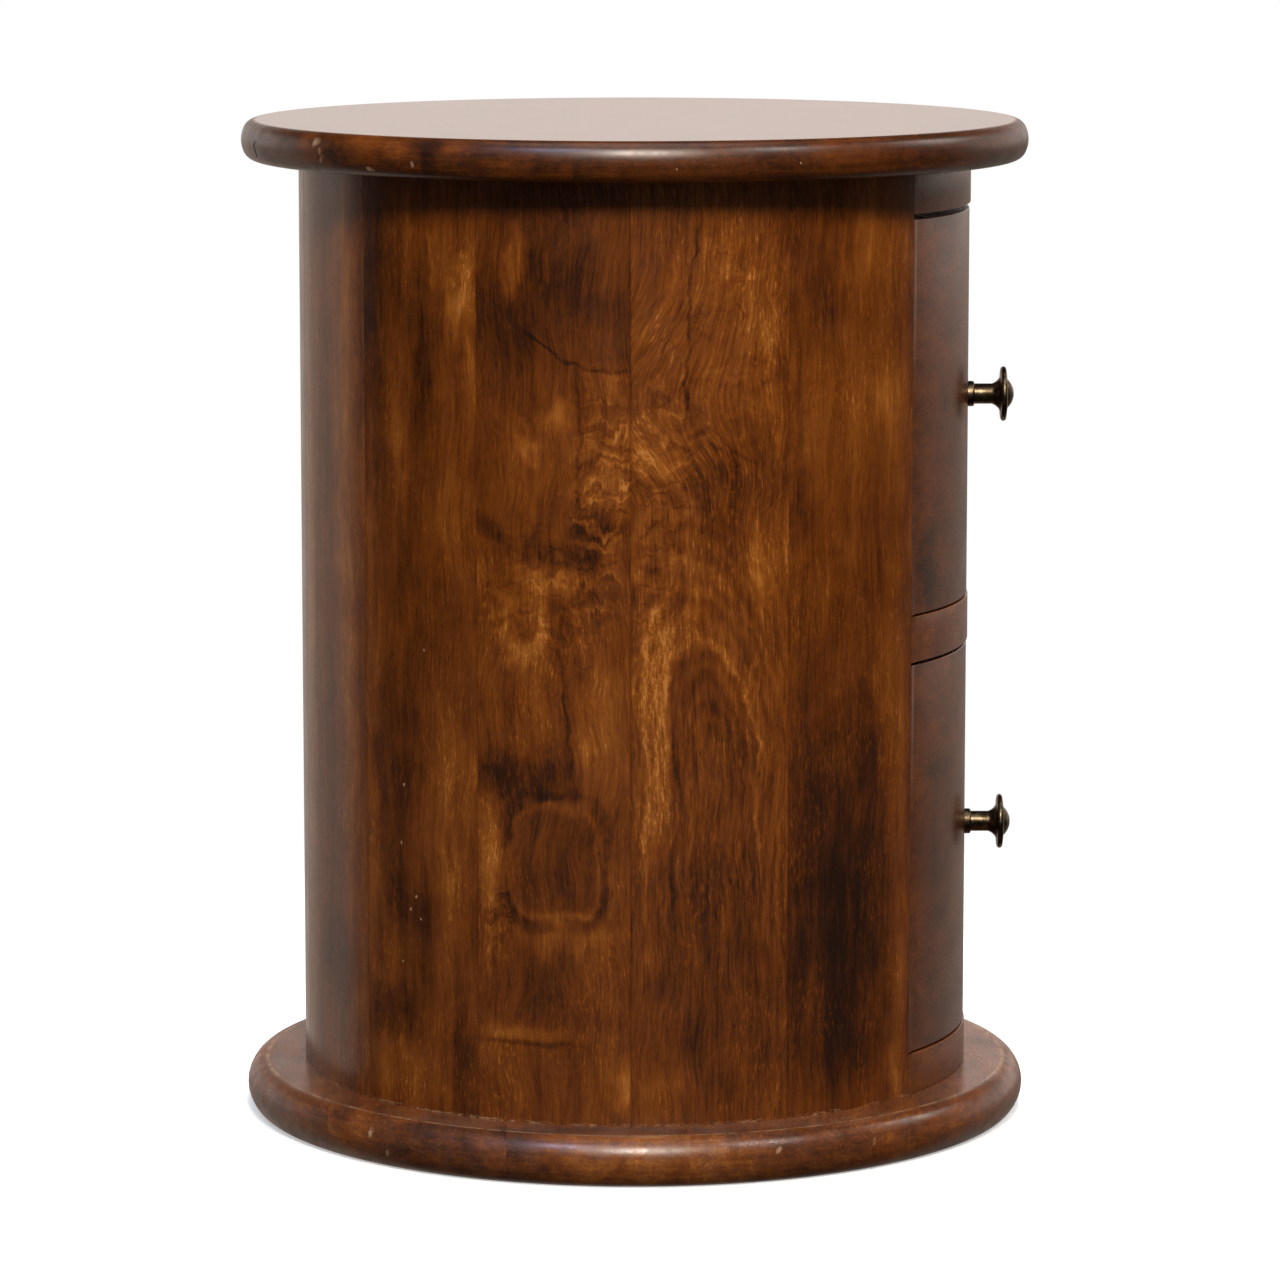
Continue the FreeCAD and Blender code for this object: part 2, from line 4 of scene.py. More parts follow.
import bmesh
import bpy
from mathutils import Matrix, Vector

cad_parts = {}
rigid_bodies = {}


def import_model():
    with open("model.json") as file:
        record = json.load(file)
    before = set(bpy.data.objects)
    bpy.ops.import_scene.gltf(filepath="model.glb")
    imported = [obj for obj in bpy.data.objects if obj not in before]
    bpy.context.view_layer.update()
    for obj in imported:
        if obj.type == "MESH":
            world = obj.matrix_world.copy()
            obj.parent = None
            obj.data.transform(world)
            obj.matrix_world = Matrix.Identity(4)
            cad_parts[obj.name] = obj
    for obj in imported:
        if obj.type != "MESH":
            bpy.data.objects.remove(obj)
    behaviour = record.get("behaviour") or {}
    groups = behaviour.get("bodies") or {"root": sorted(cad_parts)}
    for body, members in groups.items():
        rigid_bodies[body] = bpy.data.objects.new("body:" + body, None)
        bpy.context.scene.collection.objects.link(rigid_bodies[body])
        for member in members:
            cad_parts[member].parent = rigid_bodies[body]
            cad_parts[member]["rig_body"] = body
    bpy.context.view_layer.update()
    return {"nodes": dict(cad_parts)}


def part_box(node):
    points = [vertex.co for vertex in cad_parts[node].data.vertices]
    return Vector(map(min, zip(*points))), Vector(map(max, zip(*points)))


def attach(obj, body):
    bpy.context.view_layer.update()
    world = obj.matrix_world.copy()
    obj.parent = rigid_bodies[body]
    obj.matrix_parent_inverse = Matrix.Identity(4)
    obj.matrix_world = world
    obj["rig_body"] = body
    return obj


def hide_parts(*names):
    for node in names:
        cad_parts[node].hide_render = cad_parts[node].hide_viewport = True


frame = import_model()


# Base: a round slab of stained hardwood, glued up from five boards and turned with a rounded rim.
# It stands flat on the floor and is screwed up into the staves from below. Each board is a piece of
# its own, sawn out of the turned slab, and meets the next one flush.
BASE_BELLY = 0.015
BASE_LEAN = 40
RIM_STEPS = 8
SLAB_SIDES = 288
FLAT_MARGIN = 0.0006
SCREW_SINKING = 0.002
SMOOTH_BELOW = math.radians(30)
TINY = 1e-6


def pick(piece, kind, chosen):
    """Selects, in edit mode, the vertices, edges or faces that are chosen by their place."""
    bpy.ops.mesh.select_mode(type=kind)
    bpy.ops.mesh.select_all(action="DESELECT")
    shape = bmesh.from_edit_mesh(piece.data)
    parts = {"VERT": shape.verts, "EDGE": shape.edges, "FACE": shape.faces}[kind]
    for part in parts:
        if chosen(part):
            part.select_set(True)
    bmesh.update_edit_mesh(piece.data)


def closed_up():
    """Merges the doubles of the piece in edit mode and turns its faces outwards."""
    bpy.ops.mesh.select_all(action="SELECT")
    bpy.ops.mesh.remove_doubles(threshold=TINY)
    bpy.ops.mesh.normals_make_consistent(inside=False)


def bend(middle_radius, middle_height, reach, first, last, steps):
    """Rings round a bend: their radius and height, for angles in degrees from level to upright."""
    rings = []
    for step in range(steps + 1):
        angle = math.radians(first + (last - first) * step / steps)
        rings.append((middle_radius + reach * math.cos(angle), middle_height + reach * math.sin(angle)))
    return rings


def rim_rings(radius, low, high, belly, lean):
    """A slab's rim from its underside up: a tight round, a full belly that leans in, and a round again."""
    slope = math.radians(lean)
    half = (high - low) / 2
    corner = (half - belly * math.sin(slope)) / (1 - math.sin(slope))
    flat = radius - belly + (belly - corner) * math.cos(slope)
    rings = [(flat - FLAT_MARGIN, low)]
    rings += bend(flat, low + corner, corner, -90, -lean, RIM_STEPS)
    rings += bend(radius - belly, low + half, belly, -lean, lean, RIM_STEPS)[1:]
    rings += bend(flat, high - corner, corner, lean, 90, RIM_STEPS)[1:]
    return rings + [(flat - FLAT_MARGIN, high)]


def turned(name, rings, sides):
    """A piece turned about the Z axis, ring by ring, each given by its radius and height."""
    bpy.ops.object.select_all(action="DESELECT")
    bpy.ops.mesh.primitive_circle_add(vertices=sides, radius=rings[0][0], location=(0, 0, rings[0][1]))
    piece = bpy.context.object
    piece.name = name
    bpy.ops.object.transform_apply(location=True, rotation=True, scale=True)
    bpy.ops.object.mode_set(mode="EDIT")
    bpy.ops.mesh.select_all(action="SELECT")
    for (radius, height), (next_radius, next_height) in zip(rings, rings[1:]):
        bpy.ops.mesh.extrude_edges_move(
            TRANSFORM_OT_translate={"value": (0, 0, next_height - height)})
        share = next_radius / radius
        bpy.ops.transform.resize(value=(share, share, 1), center_override=(0, 0, next_height))
    bpy.ops.mesh.edge_face_add()
    pick(piece, "VERT", lambda corner: corner.is_boundary)
    bpy.ops.mesh.edge_face_add()
    closed_up()
    bpy.ops.object.mode_set(mode="OBJECT")
    return piece


def alone(piece):
    """Selects the piece, nothing else, and makes it the active one."""
    bpy.ops.object.select_all(action="DESELECT")
    piece.select_set(True)
    bpy.context.view_layer.objects.active = piece


def own_copy(piece, name):
    """A copy of the piece with its own mesh, alone selected and active."""
    copy = piece.copy()
    copy.data = piece.data.copy()
    copy.name = name
    bpy.context.scene.collection.objects.link(copy)
    alone(copy)
    return copy


def cut_for(piece, node, sunk=0.0):
    """Cuts the room that another piece takes up out of this one, and that much more below it."""
    other = own_copy(frame["nodes"][node], "cutter")
    bpy.ops.object.mode_set(mode="EDIT")
    closed_up()
    if sunk:
        pick(other, "FACE", lambda face: face.normal.z < TINY - 1)
        bpy.ops.mesh.extrude_region_move(TRANSFORM_OT_translate={"value": (0, 0, -sunk)})
    bpy.ops.object.mode_set(mode="OBJECT")
    alone(piece)
    cut = piece.modifiers.new("cut", "BOOLEAN")
    cut.operation = "DIFFERENCE"
    cut.solver = "EXACT"
    cut.object = other
    bpy.ops.object.modifier_apply(modifier=cut.name)
    bpy.data.objects.remove(other)
    bpy.ops.object.mode_set(mode="EDIT")
    bpy.ops.mesh.select_all(action="SELECT")
    bpy.ops.mesh.dissolve_degenerate(threshold=TINY)
    bpy.ops.object.mode_set(mode="OBJECT")


def sawn_board(slab, name, low, high):
    """The strip of the slab between two joints across Y."""
    board = own_copy(slab, name)
    bpy.ops.object.mode_set(mode="EDIT")
    bpy.ops.mesh.select_all(action="SELECT")
    bpy.ops.mesh.bisect(plane_co=(0, low, 0), plane_no=(0, 1, 0), use_fill=True, clear_inner=True)
    bpy.ops.mesh.select_all(action="SELECT")
    bpy.ops.mesh.bisect(plane_co=(0, high, 0), plane_no=(0, 1, 0), use_fill=True, clear_outer=True)
    bpy.ops.object.mode_set(mode="OBJECT")
    return board


def fitted(piece, node, finish):
    """Puts the piece in the place of its CAD node, on the same body, with its finish."""
    alone(piece)
    bpy.ops.object.shade_smooth_by_angle(angle=SMOOTH_BELOW)
    piece.data.materials.clear()
    piece.data.materials.append(finish)
    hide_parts(node)
    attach(piece, frame["nodes"][node]["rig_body"])


class Tint:
    """A value, colour or place in a finish. Sums written with it add Math nodes to that finish."""

    def __init__(self, tree, socket):
        self.tree = tree
        self.socket = socket

    def node(self, kind, settings, sockets, output=0):
        """One more node: its settings are set first, then its sockets, by value or by link."""
        made = self.tree.nodes.new(kind)
        for name, value in settings.items():
            if name == "stops":
                ramp = made.color_ramp
                while len(ramp.elements) < len(value):
                    ramp.elements.new(1.0)
                for element, (position, colour) in zip(ramp.elements, value):
                    element.position = position
                    element.color = (*colour, 1.0)
            else:
                setattr(made, name, value)
        for key, value in sockets.items():
            if isinstance(value, Tint):
                self.tree.links.new(value.socket, made.inputs[key])
            else:
                made.inputs[key].default_value = value
        return Tint(self.tree, made.outputs[output])

    def sum(self, operation, *terms):
        return self.node("ShaderNodeMath", {"operation": operation}, dict(enumerate(terms)))

    def __add__(self, other):
        return self.sum("ADD", self, other)

    __radd__ = __add__

    def __sub__(self, other):
        return self.sum("SUBTRACT", self, other)

    def __rsub__(self, other):
        return self.sum("SUBTRACT", other, self)

    def __mul__(self, other):
        return self.sum("MULTIPLY", self, other)

    __rmul__ = __mul__

    def __truediv__(self, other):
        return self.sum("DIVIDE", self, other)

    def __pow__(self, other):
        return self.sum("POWER", self, other)

    def step(self, start, end, low=0.0, high=1.0):
        """Rises smoothly from low to high as the value goes from start to end."""
        spans = {"From Min": start, "From Max": end, "To Min": low, "To Max": high}
        return self.node(
            "ShaderNodeMapRange", {"interpolation_type": "SMOOTHSTEP"}, {"Value": self, **spans})

    def vector(self, operation, *terms):
        """Vector Math. Its dot products and lengths come out as values, the rest as vectors."""
        output = 1 if operation in ("DOT_PRODUCT", "LENGTH") else 0
        return self.node(
            "ShaderNodeVectorMath", {"operation": operation}, dict(enumerate(terms)), output)

    def dot(self, direction):
        return self.vector("DOT_PRODUCT", self, direction)

    def blend(self, colour, other):
        """Mixes two colours, this value being the share of the other."""
        return self.node(
            "ShaderNodeMix", {"data_type": "RGBA"}, {0: self, 6: colour, 7: other}, 2)


def new_finish(name):
    """An empty finish, and the place on the piece, in metres, that its pattern starts from."""
    finish = bpy.data.materials.new(name)
    finish.use_nodes = True
    tree = finish.node_tree
    return finish, Tint(tree, tree.nodes.new("ShaderNodeTexCoord").outputs["Object"])


GRAIN_ROUGHNESS = 0.55
SEED_SHIFT = (1.0, 1.7, 0.6)


def grain(place, width, length, detail, seed):
    """Noise drawn out along the grain. The place is in millimetres: across, along and into the board."""
    shares = (1 / width, 1 / length, 1 / width)
    start = tuple(seed * share for share in SEED_SHIFT)
    drawn_out = place.vector("MULTIPLY_ADD", place, shares, start)
    return place.node(
        "ShaderNodeTexNoise",
        {},
        {"Vector": drawn_out, "Scale": 1.0, "Detail": detail, "Roughness": GRAIN_ROUGHNESS})


WHOLE_DEPTH = 1000.0


def patch(place, across, along, half_width, half_length, turn=0.0, into=0.0, half_depth=WHOLE_DEPTH):
    """How far a spot lies from the middle of a long round patch: 0 there, 1 at its edge."""
    laid = place.node(
        "ShaderNodeMapping",
        {"vector_type": "TEXTURE"},
        {
            "Vector": place,
            "Location": (across, along, into),
            "Rotation": (0.0, 0.0, math.radians(turn)),
            "Scale": (half_width, half_length, half_depth),
        })
    return place.vector("LENGTH", laid)


METRE = 1000.0
ACROSS = (1.0, 0.0, 0.0)
ALONG = (0.0, 1.0, 0.0)
INTO = (0.0, 0.0, 1.0)
WANDER = {"Scale": 0.014, "Detail": 2.0, "Roughness": 0.5}


def flow_of_grain(place, sway, pulls):
    """The place with the grain's wander in it. Pulls draw the grain aside round a spot."""
    wander = place.node("ShaderNodeTexNoise", {}, {"Vector": place, **WANDER}, 1)
    shift = place.vector(
        "MULTIPLY_ADD", wander, (4.0 * sway, 2.0 * sway, 0.0), (-2.0 * sway, -sway, 0.0))
    flow = place.vector("ADD", place, shift)
    for across, along, reach_across, reach_along, pull in pulls:
        near = patch(place, across, along, reach_across, reach_along).step(1.0, 0.0, 0.0, pull)
        flow = place.vector("ADD", flow, place.node("ShaderNodeCombineXYZ", {}, {"X": near}))
    return flow


FRAYS_ACROSS = (11.0, 17.0, 3.0)
FRAYS_ALONG = (10.0, 13.0, 3.0)
FRAY_WIDTH = 16.0
FRAY_LENGTH = 26.0
FRAYED_BY_STRANDS = 9.0


def frayed(place, strands, seed):
    """The place with ragged shifts, for marks that fray along the strands of the wood."""
    aside = (grain(place, *FRAYS_ACROSS, seed + 13.0) - 0.5) * FRAY_WIDTH
    fray = (grain(place, *FRAYS_ALONG, seed + 15.0) - 0.5) * FRAY_LENGTH
    along = (strands - 0.5) * FRAYED_BY_STRANDS + fray
    shift = place.node("ShaderNodeCombineXYZ", {}, {"X": aside, "Y": along})
    return place.vector("ADD", place, shift)


BENDS = {"Scale": 0.11, "Detail": 3.0}
BEND_REACH = 7.0


def bent(place):
    """The place with small bends, for lines and chips."""
    bends = place.node("ShaderNodeTexNoise", {}, {"Vector": place, **BENDS}, 1)
    reach = (BEND_REACH, BEND_REACH, 0.0)
    middle = (BEND_REACH / 2, BEND_REACH / 2, 0.0)
    moved = place.vector("MULTIPLY_ADD", bends, reach, place)
    return place.vector("SUBTRACT", moved, middle)


STAIN = (
    (0.00, (0.015, 0.0050, 0.0022)),
    (0.16, (0.035, 0.0088, 0.0016)),
    (0.34, (0.076, 0.018, 0.0016)),
    (0.50, (0.115, 0.028, 0.0024)),
    (0.66, (0.160, 0.043, 0.0040)),
    (0.82, (0.225, 0.070, 0.0075)),
    (1.00, (0.350, 0.128, 0.026)),
)
CHIPPED = (0.42, 0.27, 0.16, 1.0)
WORN_THROUGH = (0.30, 0.17, 0.09, 1.0)
DUST = (0.25, 0.24, 0.23, 1.0)
BROAD_STREAKS = (12.0, 140.0, 3.0)
STRANDS = (3.4, 42.0, 3.0)
FINE_STREAKS = (1.0, 15.0, 3.0)
CLOUDS = (15.0, 30.0, 4.0)
PORES = (0.5, 5.0, 1.0)
ROUGH_SPOTS = (30.0, 55.0, 2.0)
FLECKS = (0.9, 4.6, 1.0)
CRESTS = (15.0, 4.6, 2.0)
SMEARS = (18.0, 30.0, 2.0)
WAVES = (30.0, 42.0, 1.0)
STRAND_SHARE = 0.8
PORE_DARKNESS = 0.12
CRACK_DARKNESS = 0.4
JOINT_DARKNESS = 0.06
SMEAR_DULLNESS = 0.14
PORE_DULLNESS = 0.06
FINE_RIDGES = 0.008
STRAND_RIDGES = 0.03
PORE_DEPTH = 0.010
WAVE_HEIGHT = 0.12


def stained_wood(finish, place, seed, base=0.47, broad=0.36, fine=0.42, mottle=0.50, sway=6.0,
                 marks=(), lines=(), ripples=(), pulls=(), chips=(), cracks=(), extra=None, worn=None,
                 dulled=None, dusty=None, half_width=None, gloss=0.27, relief=1.0, flecked=1.0):
    """Lacquered stained hardwood. Marks, lines and ripples are its natural figure, and a mark may also be
    painted shade: their place and half sizes in millimetres, their turn in degrees, and how much lighter
    or darker they are. Chips and worn edges show paler wood, cracks are sunk that many millimetres, and
    dust greys the lacquer. Each kind of grain has a width and a length in millimetres, and a detail."""
    flow = flow_of_grain(place, sway, pulls)
    broad_streaks = grain(flow, *BROAD_STREAKS, seed)
    strands = grain(flow, *STRANDS, seed + 1.0)
    fine_streaks = grain(flow, *FINE_STREAKS, seed + 3.0)
    clouds = grain(flow, *CLOUDS, seed + 11.0)
    pores = grain(flow, *PORES, seed + 5.0).step(0.56, 0.72)
    rough_spots = grain(place, *ROUGH_SPOTS, seed + 25.0).step(0.40, 0.64, 0.06, 0.24)
    flecks = grain(flow, *FLECKS, seed + 9.0).step(0.54, 0.72) * rough_spots * flecked
    tone = (base + (broad_streaks - 0.5) * broad + (strands - 0.5) * (STRAND_SHARE * fine)
            + (fine_streaks - 0.5) * fine + (clouds - 0.5) * mottle - pores * PORE_DARKNESS + flecks)
    ragged = frayed(place, strands, seed)
    for *spot, change in marks:
        tone = tone + patch(ragged, *spot).step(1.5, 0.1, 0.0, change)
    if ripples:
        crests = grain(ragged, *CRESTS, seed + 17.0) - 0.5
        for *spot, change in ripples:
            tone = tone + crests * patch(ragged, *spot).step(1.3, 0.5, 0.0, change)
    wavering = bent(place)
    for *spot, change in lines:
        tone = tone + patch(wavering, *spot).step(1.4, 0.1, 0.0, change)
    if extra:
        tone = tone + extra(wavering, seed)
    gaps = [patch(wavering, *spot).step(1.0, 0.3, 0.0, depth) for *spot, depth in cracks]
    for gap in gaps:
        tone = tone - gap * CRACK_DARKNESS
    if half_width:
        off_middle = place.sum("ABSOLUTE", place.dot(ACROSS))
        tone = tone - off_middle.step(half_width - 1.1, half_width - 0.2, 0.0, JOINT_DARKNESS)
    colour = place.node("ShaderNodeValToRGB", {"stops": STAIN}, {0: tone})
    for *spot, paleness in chips:
        colour = patch(wavering, *spot).step(1.2, 0.5, 0.0, paleness).blend(colour, CHIPPED)
    if worn:
        colour = worn(place, seed).blend(colour, WORN_THROUGH)
    if dusty:
        colour = dusty(place, seed).blend(colour, DUST)
    smears = grain(place, *SMEARS, seed + 21.0)
    roughness = gloss + ((smears - 0.5) * SMEAR_DULLNESS + pores * PORE_DULLNESS) * relief
    if dulled:
        roughness = roughness + dulled(place, seed)
    waves = grain(place, *WAVES, seed + 23.0)
    height = (fine_streaks * FINE_RIDGES + strands * STRAND_RIDGES
              - pores * PORE_DEPTH + waves * WAVE_HEIGHT) * relief
    for gap in gaps:
        height = height - gap
    lacquered(finish, colour, roughness, height)


def lacquered(finish, colour, roughness, height):
    """Joins a colour, a roughness and a height in millimetres to the finish's shader."""
    shader = finish.node_tree.nodes["Principled BSDF"]
    bump = colour.node(
        "ShaderNodeBump", {}, {"Strength": 1.0, "Distance": 1 / METRE, "Height": height})
    for name, tint in (("Base Color", colour), ("Roughness", roughness), ("Normal", bump)):
        finish.node_tree.links.new(tint.socket, shader.inputs[name])


X_AXIS = 0
Y_AXIS = 1


def board_place(place, along_axis):
    """Millimetres across, along and into a board whose grain runs along an axis."""
    across_axis, into_axis = (axis for axis in range(3) if axis != along_axis)
    columns = [tuple(METRE if axis == chosen else 0.0 for axis in range(3))
               for chosen in (across_axis, along_axis, into_axis)]
    x, y, z = (place.dot(column) for column in columns)
    return place.node("ShaderNodeCombineXYZ", {}, {"X": x, "Y": y, "Z": z})


BOARD_SEED = 31.0


def slab_of_boards(kind, belly, lean, boards, screws=None):
    """Turns a slab to the outline of its boards in the frame, sinks the screws and saws it into them."""
    nodes = [f"{kind}_board_{number}" for number in range(1, len(boards) + 1)]
    corners = [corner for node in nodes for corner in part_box(node)]
    radius = max(corner.x for corner in corners)
    low = min(corner.z for corner in corners)
    high = max(corner.z for corner in corners)
    slab = turned(f"{kind}_slab", rim_rings(radius, low, high, belly, lean), SLAB_SIDES)
    if screws:
        cut_for(slab, screws, SCREW_SINKING)
    for number, (node, figure) in enumerate(zip(nodes, boards), 1):
        joint_low, joint_high = (corner.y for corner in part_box(node))
        board = sawn_board(slab, f"lacquered_{node}", joint_low, joint_high)
        finish, place = new_finish(f"{kind} board {number}")
        stained_wood(finish, board_place(place, X_AXIS), BOARD_SEED * number + radius, **figure)
        fitted(board, node, finish)
    bpy.data.objects.remove(slab)


def reach_from_axis(place):
    """Millimetres from the chest's upright axis."""
    level = place.vector("MULTIPLY", place, (1.0, 1.0, 0.0))
    return place.vector("LENGTH", level)


RIM_REACH = 200.0
RIM_START = (187.0, 193.0)
LONG_STREAKS = (2.6, 46.0, 3.0)
SHORT_STREAKS = (1.0, 12.0, 3.0)


def turned_streaks(place, seed):
    """Light and dark streaks that run round a rim, left by turning and by rubbing."""
    reach = reach_from_axis(place)
    turn = place.sum("ARCTAN2", place.dot(ACROSS), place.dot(ALONG))
    round_rim = place.node(
        "ShaderNodeCombineXYZ", {}, {"X": place.dot(INTO), "Y": turn * RIM_REACH, "Z": reach})
    long_streaks = grain(round_rim, *LONG_STREAKS, seed + 43.0) - 0.5
    short_streaks = grain(round_rim, *SHORT_STREAKS, seed + 45.0) - 0.5
    return reach.step(*RIM_START) * (long_streaks * 0.50 + short_streaks * 0.24)


EDGE_START = (189.6, 190.6)
EDGE_END = (192.6, 191.2)
UPPER_SIDE = (20.0, 24.0)
BARE_SPOTS = (7.0, 7.0, 5.0)


def trodden_edge(place, seed):
    """The lacquer worn through in places along the edge of the base's flat."""
    reach = reach_from_axis(place)
    edge = reach.step(*EDGE_START) * reach.step(*EDGE_END) * place.dot(INTO).step(*UPPER_SIDE)
    return edge * grain(place, *BARE_SPOTS, seed).step(0.34, 0.62, 0.05, 0.75)


FLAT_END = (193.0, 188.0)
DUSTY_SIDE = (-120.0, -160.0)
DUST_PATCHES = (16.0, 16.0, 4.0)
DUST_ON_FLAT = 0.065
DUST_ON_ALL = 0.025


def settled_dust(place, seed):
    """A little dust on the whole base, and more of it on the flat before one side of the drum."""
    patches = grain(place, *DUST_PATCHES, seed + 47.0).step(0.30, 0.70, 0.6, 1.4)
    before_drum = reach_from_axis(place).step(*FLAT_END) * place.dot(ALONG).step(*DUSTY_SIDE)
    return (before_drum * DUST_ON_FLAT + DUST_ON_ALL) * patches


SCUFFED_RIM = (188.0, 194.0)
SCUFFED_SIDE = (-60.0, 120.0)
RUBBINGS = (9.0, 9.0, 4.0)


def scuffed_base(place, seed):
    """How much duller the base is on its rim and towards one side, streaked by rubbing."""
    rubbed = grain(place, *RUBBINGS, seed + 41.0).step(0.35, 0.65, 0.0, 0.10)
    rim = reach_from_axis(place).step(*SCUFFED_RIM)
    return rim * rubbed + place.dot(ACROSS).step(*SCUFFED_SIDE, 0.0, 0.07)


BASE_CHIPS = (
    (131, -152, 1.8, 1.5, 0, 18, 3.0, 0.7), (122, -160, 1.0, 3.0, 0, 9, 2.0, 0.4),
    (60, -190, 3.0, 1.4, 0, 12, 1.5, 0.3), (-70, -187, 1.0, 2.5, 0, 17, 2.0, 0.5),
    (-118, -160, 1.2, 2.0, 0, 14, 4.0, 0.5))
# The last base mark is painted shade: it darkens the flat just in front of the drum's foot.
BASE_MARKS_AND_SHADE = (
    (-8, -199, 45, 30, 0, 0.22), (60, -190, 14, 20, 0, -0.16), (100, -172, 20, 20, 0, -0.16),
    (-90, -178, 24, 24, 0, -0.12), (0, -181, 80, 9, 0, -0.30))
BASE_TONES = (0.46, 0.50, 0.47, 0.48, 0.46)
BASE_FIGURE = {
    "mottle": 0.8, "gloss": 0.26, "worn": trodden_edge, "dulled": scuffed_base, "dusty": settled_dust,
    "extra": turned_streaks, "chips": BASE_CHIPS, "marks": BASE_MARKS_AND_SHADE}
base_boards = [{"base": tone, **BASE_FIGURE} for tone in BASE_TONES]
slab_of_boards("base", BASE_BELLY, BASE_LEAN, base_boards, screws="stave_screws")


# Drum wall: eleven staves of figured hardwood, glued edge to edge on radial joints, flat inside and
# turned round outside. The two beside the opening are cut square, so that the drawers pass.
# Every stave is cut from another plank, so each has a tone and a figure of its own.
STAVE_COUNT = 11
STAVE_STEPS = 14
STAVE_ARRIS = 0.0002
STAVE_SEED = 17.0
drum_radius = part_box("stave_06")[1].y
stave_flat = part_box("stave_06")[0].y
drum_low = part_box("stave_06")[0].z
drum_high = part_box("stave_06")[1].z
half_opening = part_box("middle_rail")[1].x


def stave_span(node):
    """The angles, from the front towards +X, at which a stave's outer face starts and ends."""
    corners = [corner.co for corner in frame["nodes"][node].data.vertices]
    on_face = drum_radius - STAVE_ARRIS / 2
    outer = [corner for corner in corners if math.hypot(corner.x, corner.y) > on_face]
    angles = [math.atan2(corner.x, -corner.y) % (2 * math.pi) for corner in outer]
    ease = STAVE_ARRIS / drum_radius
    return min(angles) - ease, max(angles) + ease


def upright_sheet(name, x_span, z_span):
    """A plane standing on the XZ plane, in edit mode, from which a piece is turned or drawn out."""
    bpy.ops.object.select_all(action="DESELECT")
    middle = (sum(x_span) / 2, 0, sum(z_span) / 2)
    bpy.ops.mesh.primitive_plane_add(size=1, location=middle, rotation=(math.pi / 2, 0, 0))
    sheet = bpy.context.object
    sheet.name = name
    sheet.scale = (x_span[1] - x_span[0], z_span[1] - z_span[0], 1)
    bpy.ops.object.transform_apply(location=True, rotation=True, scale=True)
    bpy.ops.object.mode_set(mode="EDIT")
    return sheet


def bowed(name, inner, outer, z_span, half_angle, steps):
    """A strip of wood bent round the front of the drum, from one radius to another."""
    strip = upright_sheet(name, (inner, outer), z_span)
    bpy.ops.mesh.select_all(action="SELECT")
    bpy.ops.mesh.spin(steps=steps, angle=2 * half_angle, center=(0, 0, 0), axis=(0, 0, 1))
    closed_up()
    bpy.ops.object.mode_set(mode="OBJECT")
    strip.rotation_euler.z = half_angle - math.pi / 2
    bpy.ops.object.transform_apply(location=False, rotation=True, scale=False)
    return strip


def flattened(strip, inner, outer, flat):
    """Planes the hollow side of a bowed strip flat, at a distance in front of the drum's axis."""
    bpy.ops.object.mode_set(mode="EDIT")
    between = (inner + outer) / 2
    pick(strip, "VERT", lambda corner: math.hypot(corner.co.x, corner.co.y) < between)
    bpy.ops.transform.resize(value=(1, 0, 1), center_override=(0, -flat, 0))
    bpy.ops.object.mode_set(mode="OBJECT")


def sawn_off(piece, spot, towards):
    """Cuts the piece straight through at a spot and drops what lies on the far side."""
    bpy.ops.object.mode_set(mode="EDIT")
    bpy.ops.mesh.select_all(action="SELECT")
    bpy.ops.mesh.bisect(plane_co=spot, plane_no=towards, use_fill=True, clear_outer=True)
    bpy.ops.object.mode_set(mode="OBJECT")


def coopered_stave(name, start, end):
    """A stave between two angles: round outside, flat inside, with a fine arris along its joints."""
    half_angle = (end - start) / 2
    corner_radius = stave_flat / math.cos(half_angle)
    stave = bowed(name, corner_radius, drum_radius, (drum_low, drum_high), half_angle, STAVE_STEPS)
    flattened(stave, corner_radius, drum_radius, stave_flat)
    bpy.ops.object.mode_set(mode="EDIT")
    face_edge = drum_radius * math.sin(half_angle) - TINY
    pick(stave, "EDGE", lambda edge: all(abs(end.co.x) > face_edge for end in edge.verts))
    bpy.ops.mesh.bevel(offset=STAVE_ARRIS, segments=1, affect="EDGES")
    bpy.ops.object.mode_set(mode="OBJECT")
    stave.rotation_euler.z = (start + end) / 2
    bpy.ops.object.transform_apply(location=False, rotation=True, scale=False)
    return stave


def stave_place(place, middle):
    """Millimetres across, up and into a stave, from the middle of its outer face."""
    outwards = place.dot((math.sin(middle), -math.cos(middle), 0.0))
    sideways = place.dot((math.cos(middle), math.sin(middle), 0.0))
    up = place.dot((0.0, 0.0, 1.0))
    across = place.sum("ARCTAN2", sideways, outwards) * (drum_radius * METRE)
    return place.node(
        "ShaderNodeCombineXYZ", {}, {"X": across, "Y": up * METRE, "Z": outwards * METRE})


def oval(across, up, half_width, half_height, power=2.0):
    """How far a spot lies from the middle of an oval, 1 at its edge. A higher power is squarer."""
    return ((across / half_width) ** power + (up / half_height) ** power) ** (1 / power)


ARCH_MIDDLE = 1.0
ARCH_FOOT = 212.0
ARCH_LEAN = 0.16
ARCH_HALF_WIDTH = 22.0
ARCH_RISE = 53.0
ARCH_WAVER = (10.0, 20.0, 4.0)
ARCH_DOTS = (1.0, 1.9, 2.0)
ARCH_STRANDS = (2.0, 16.0, 3.0)
RING_PACE = 26.0
RING_DEPTH = 0.065


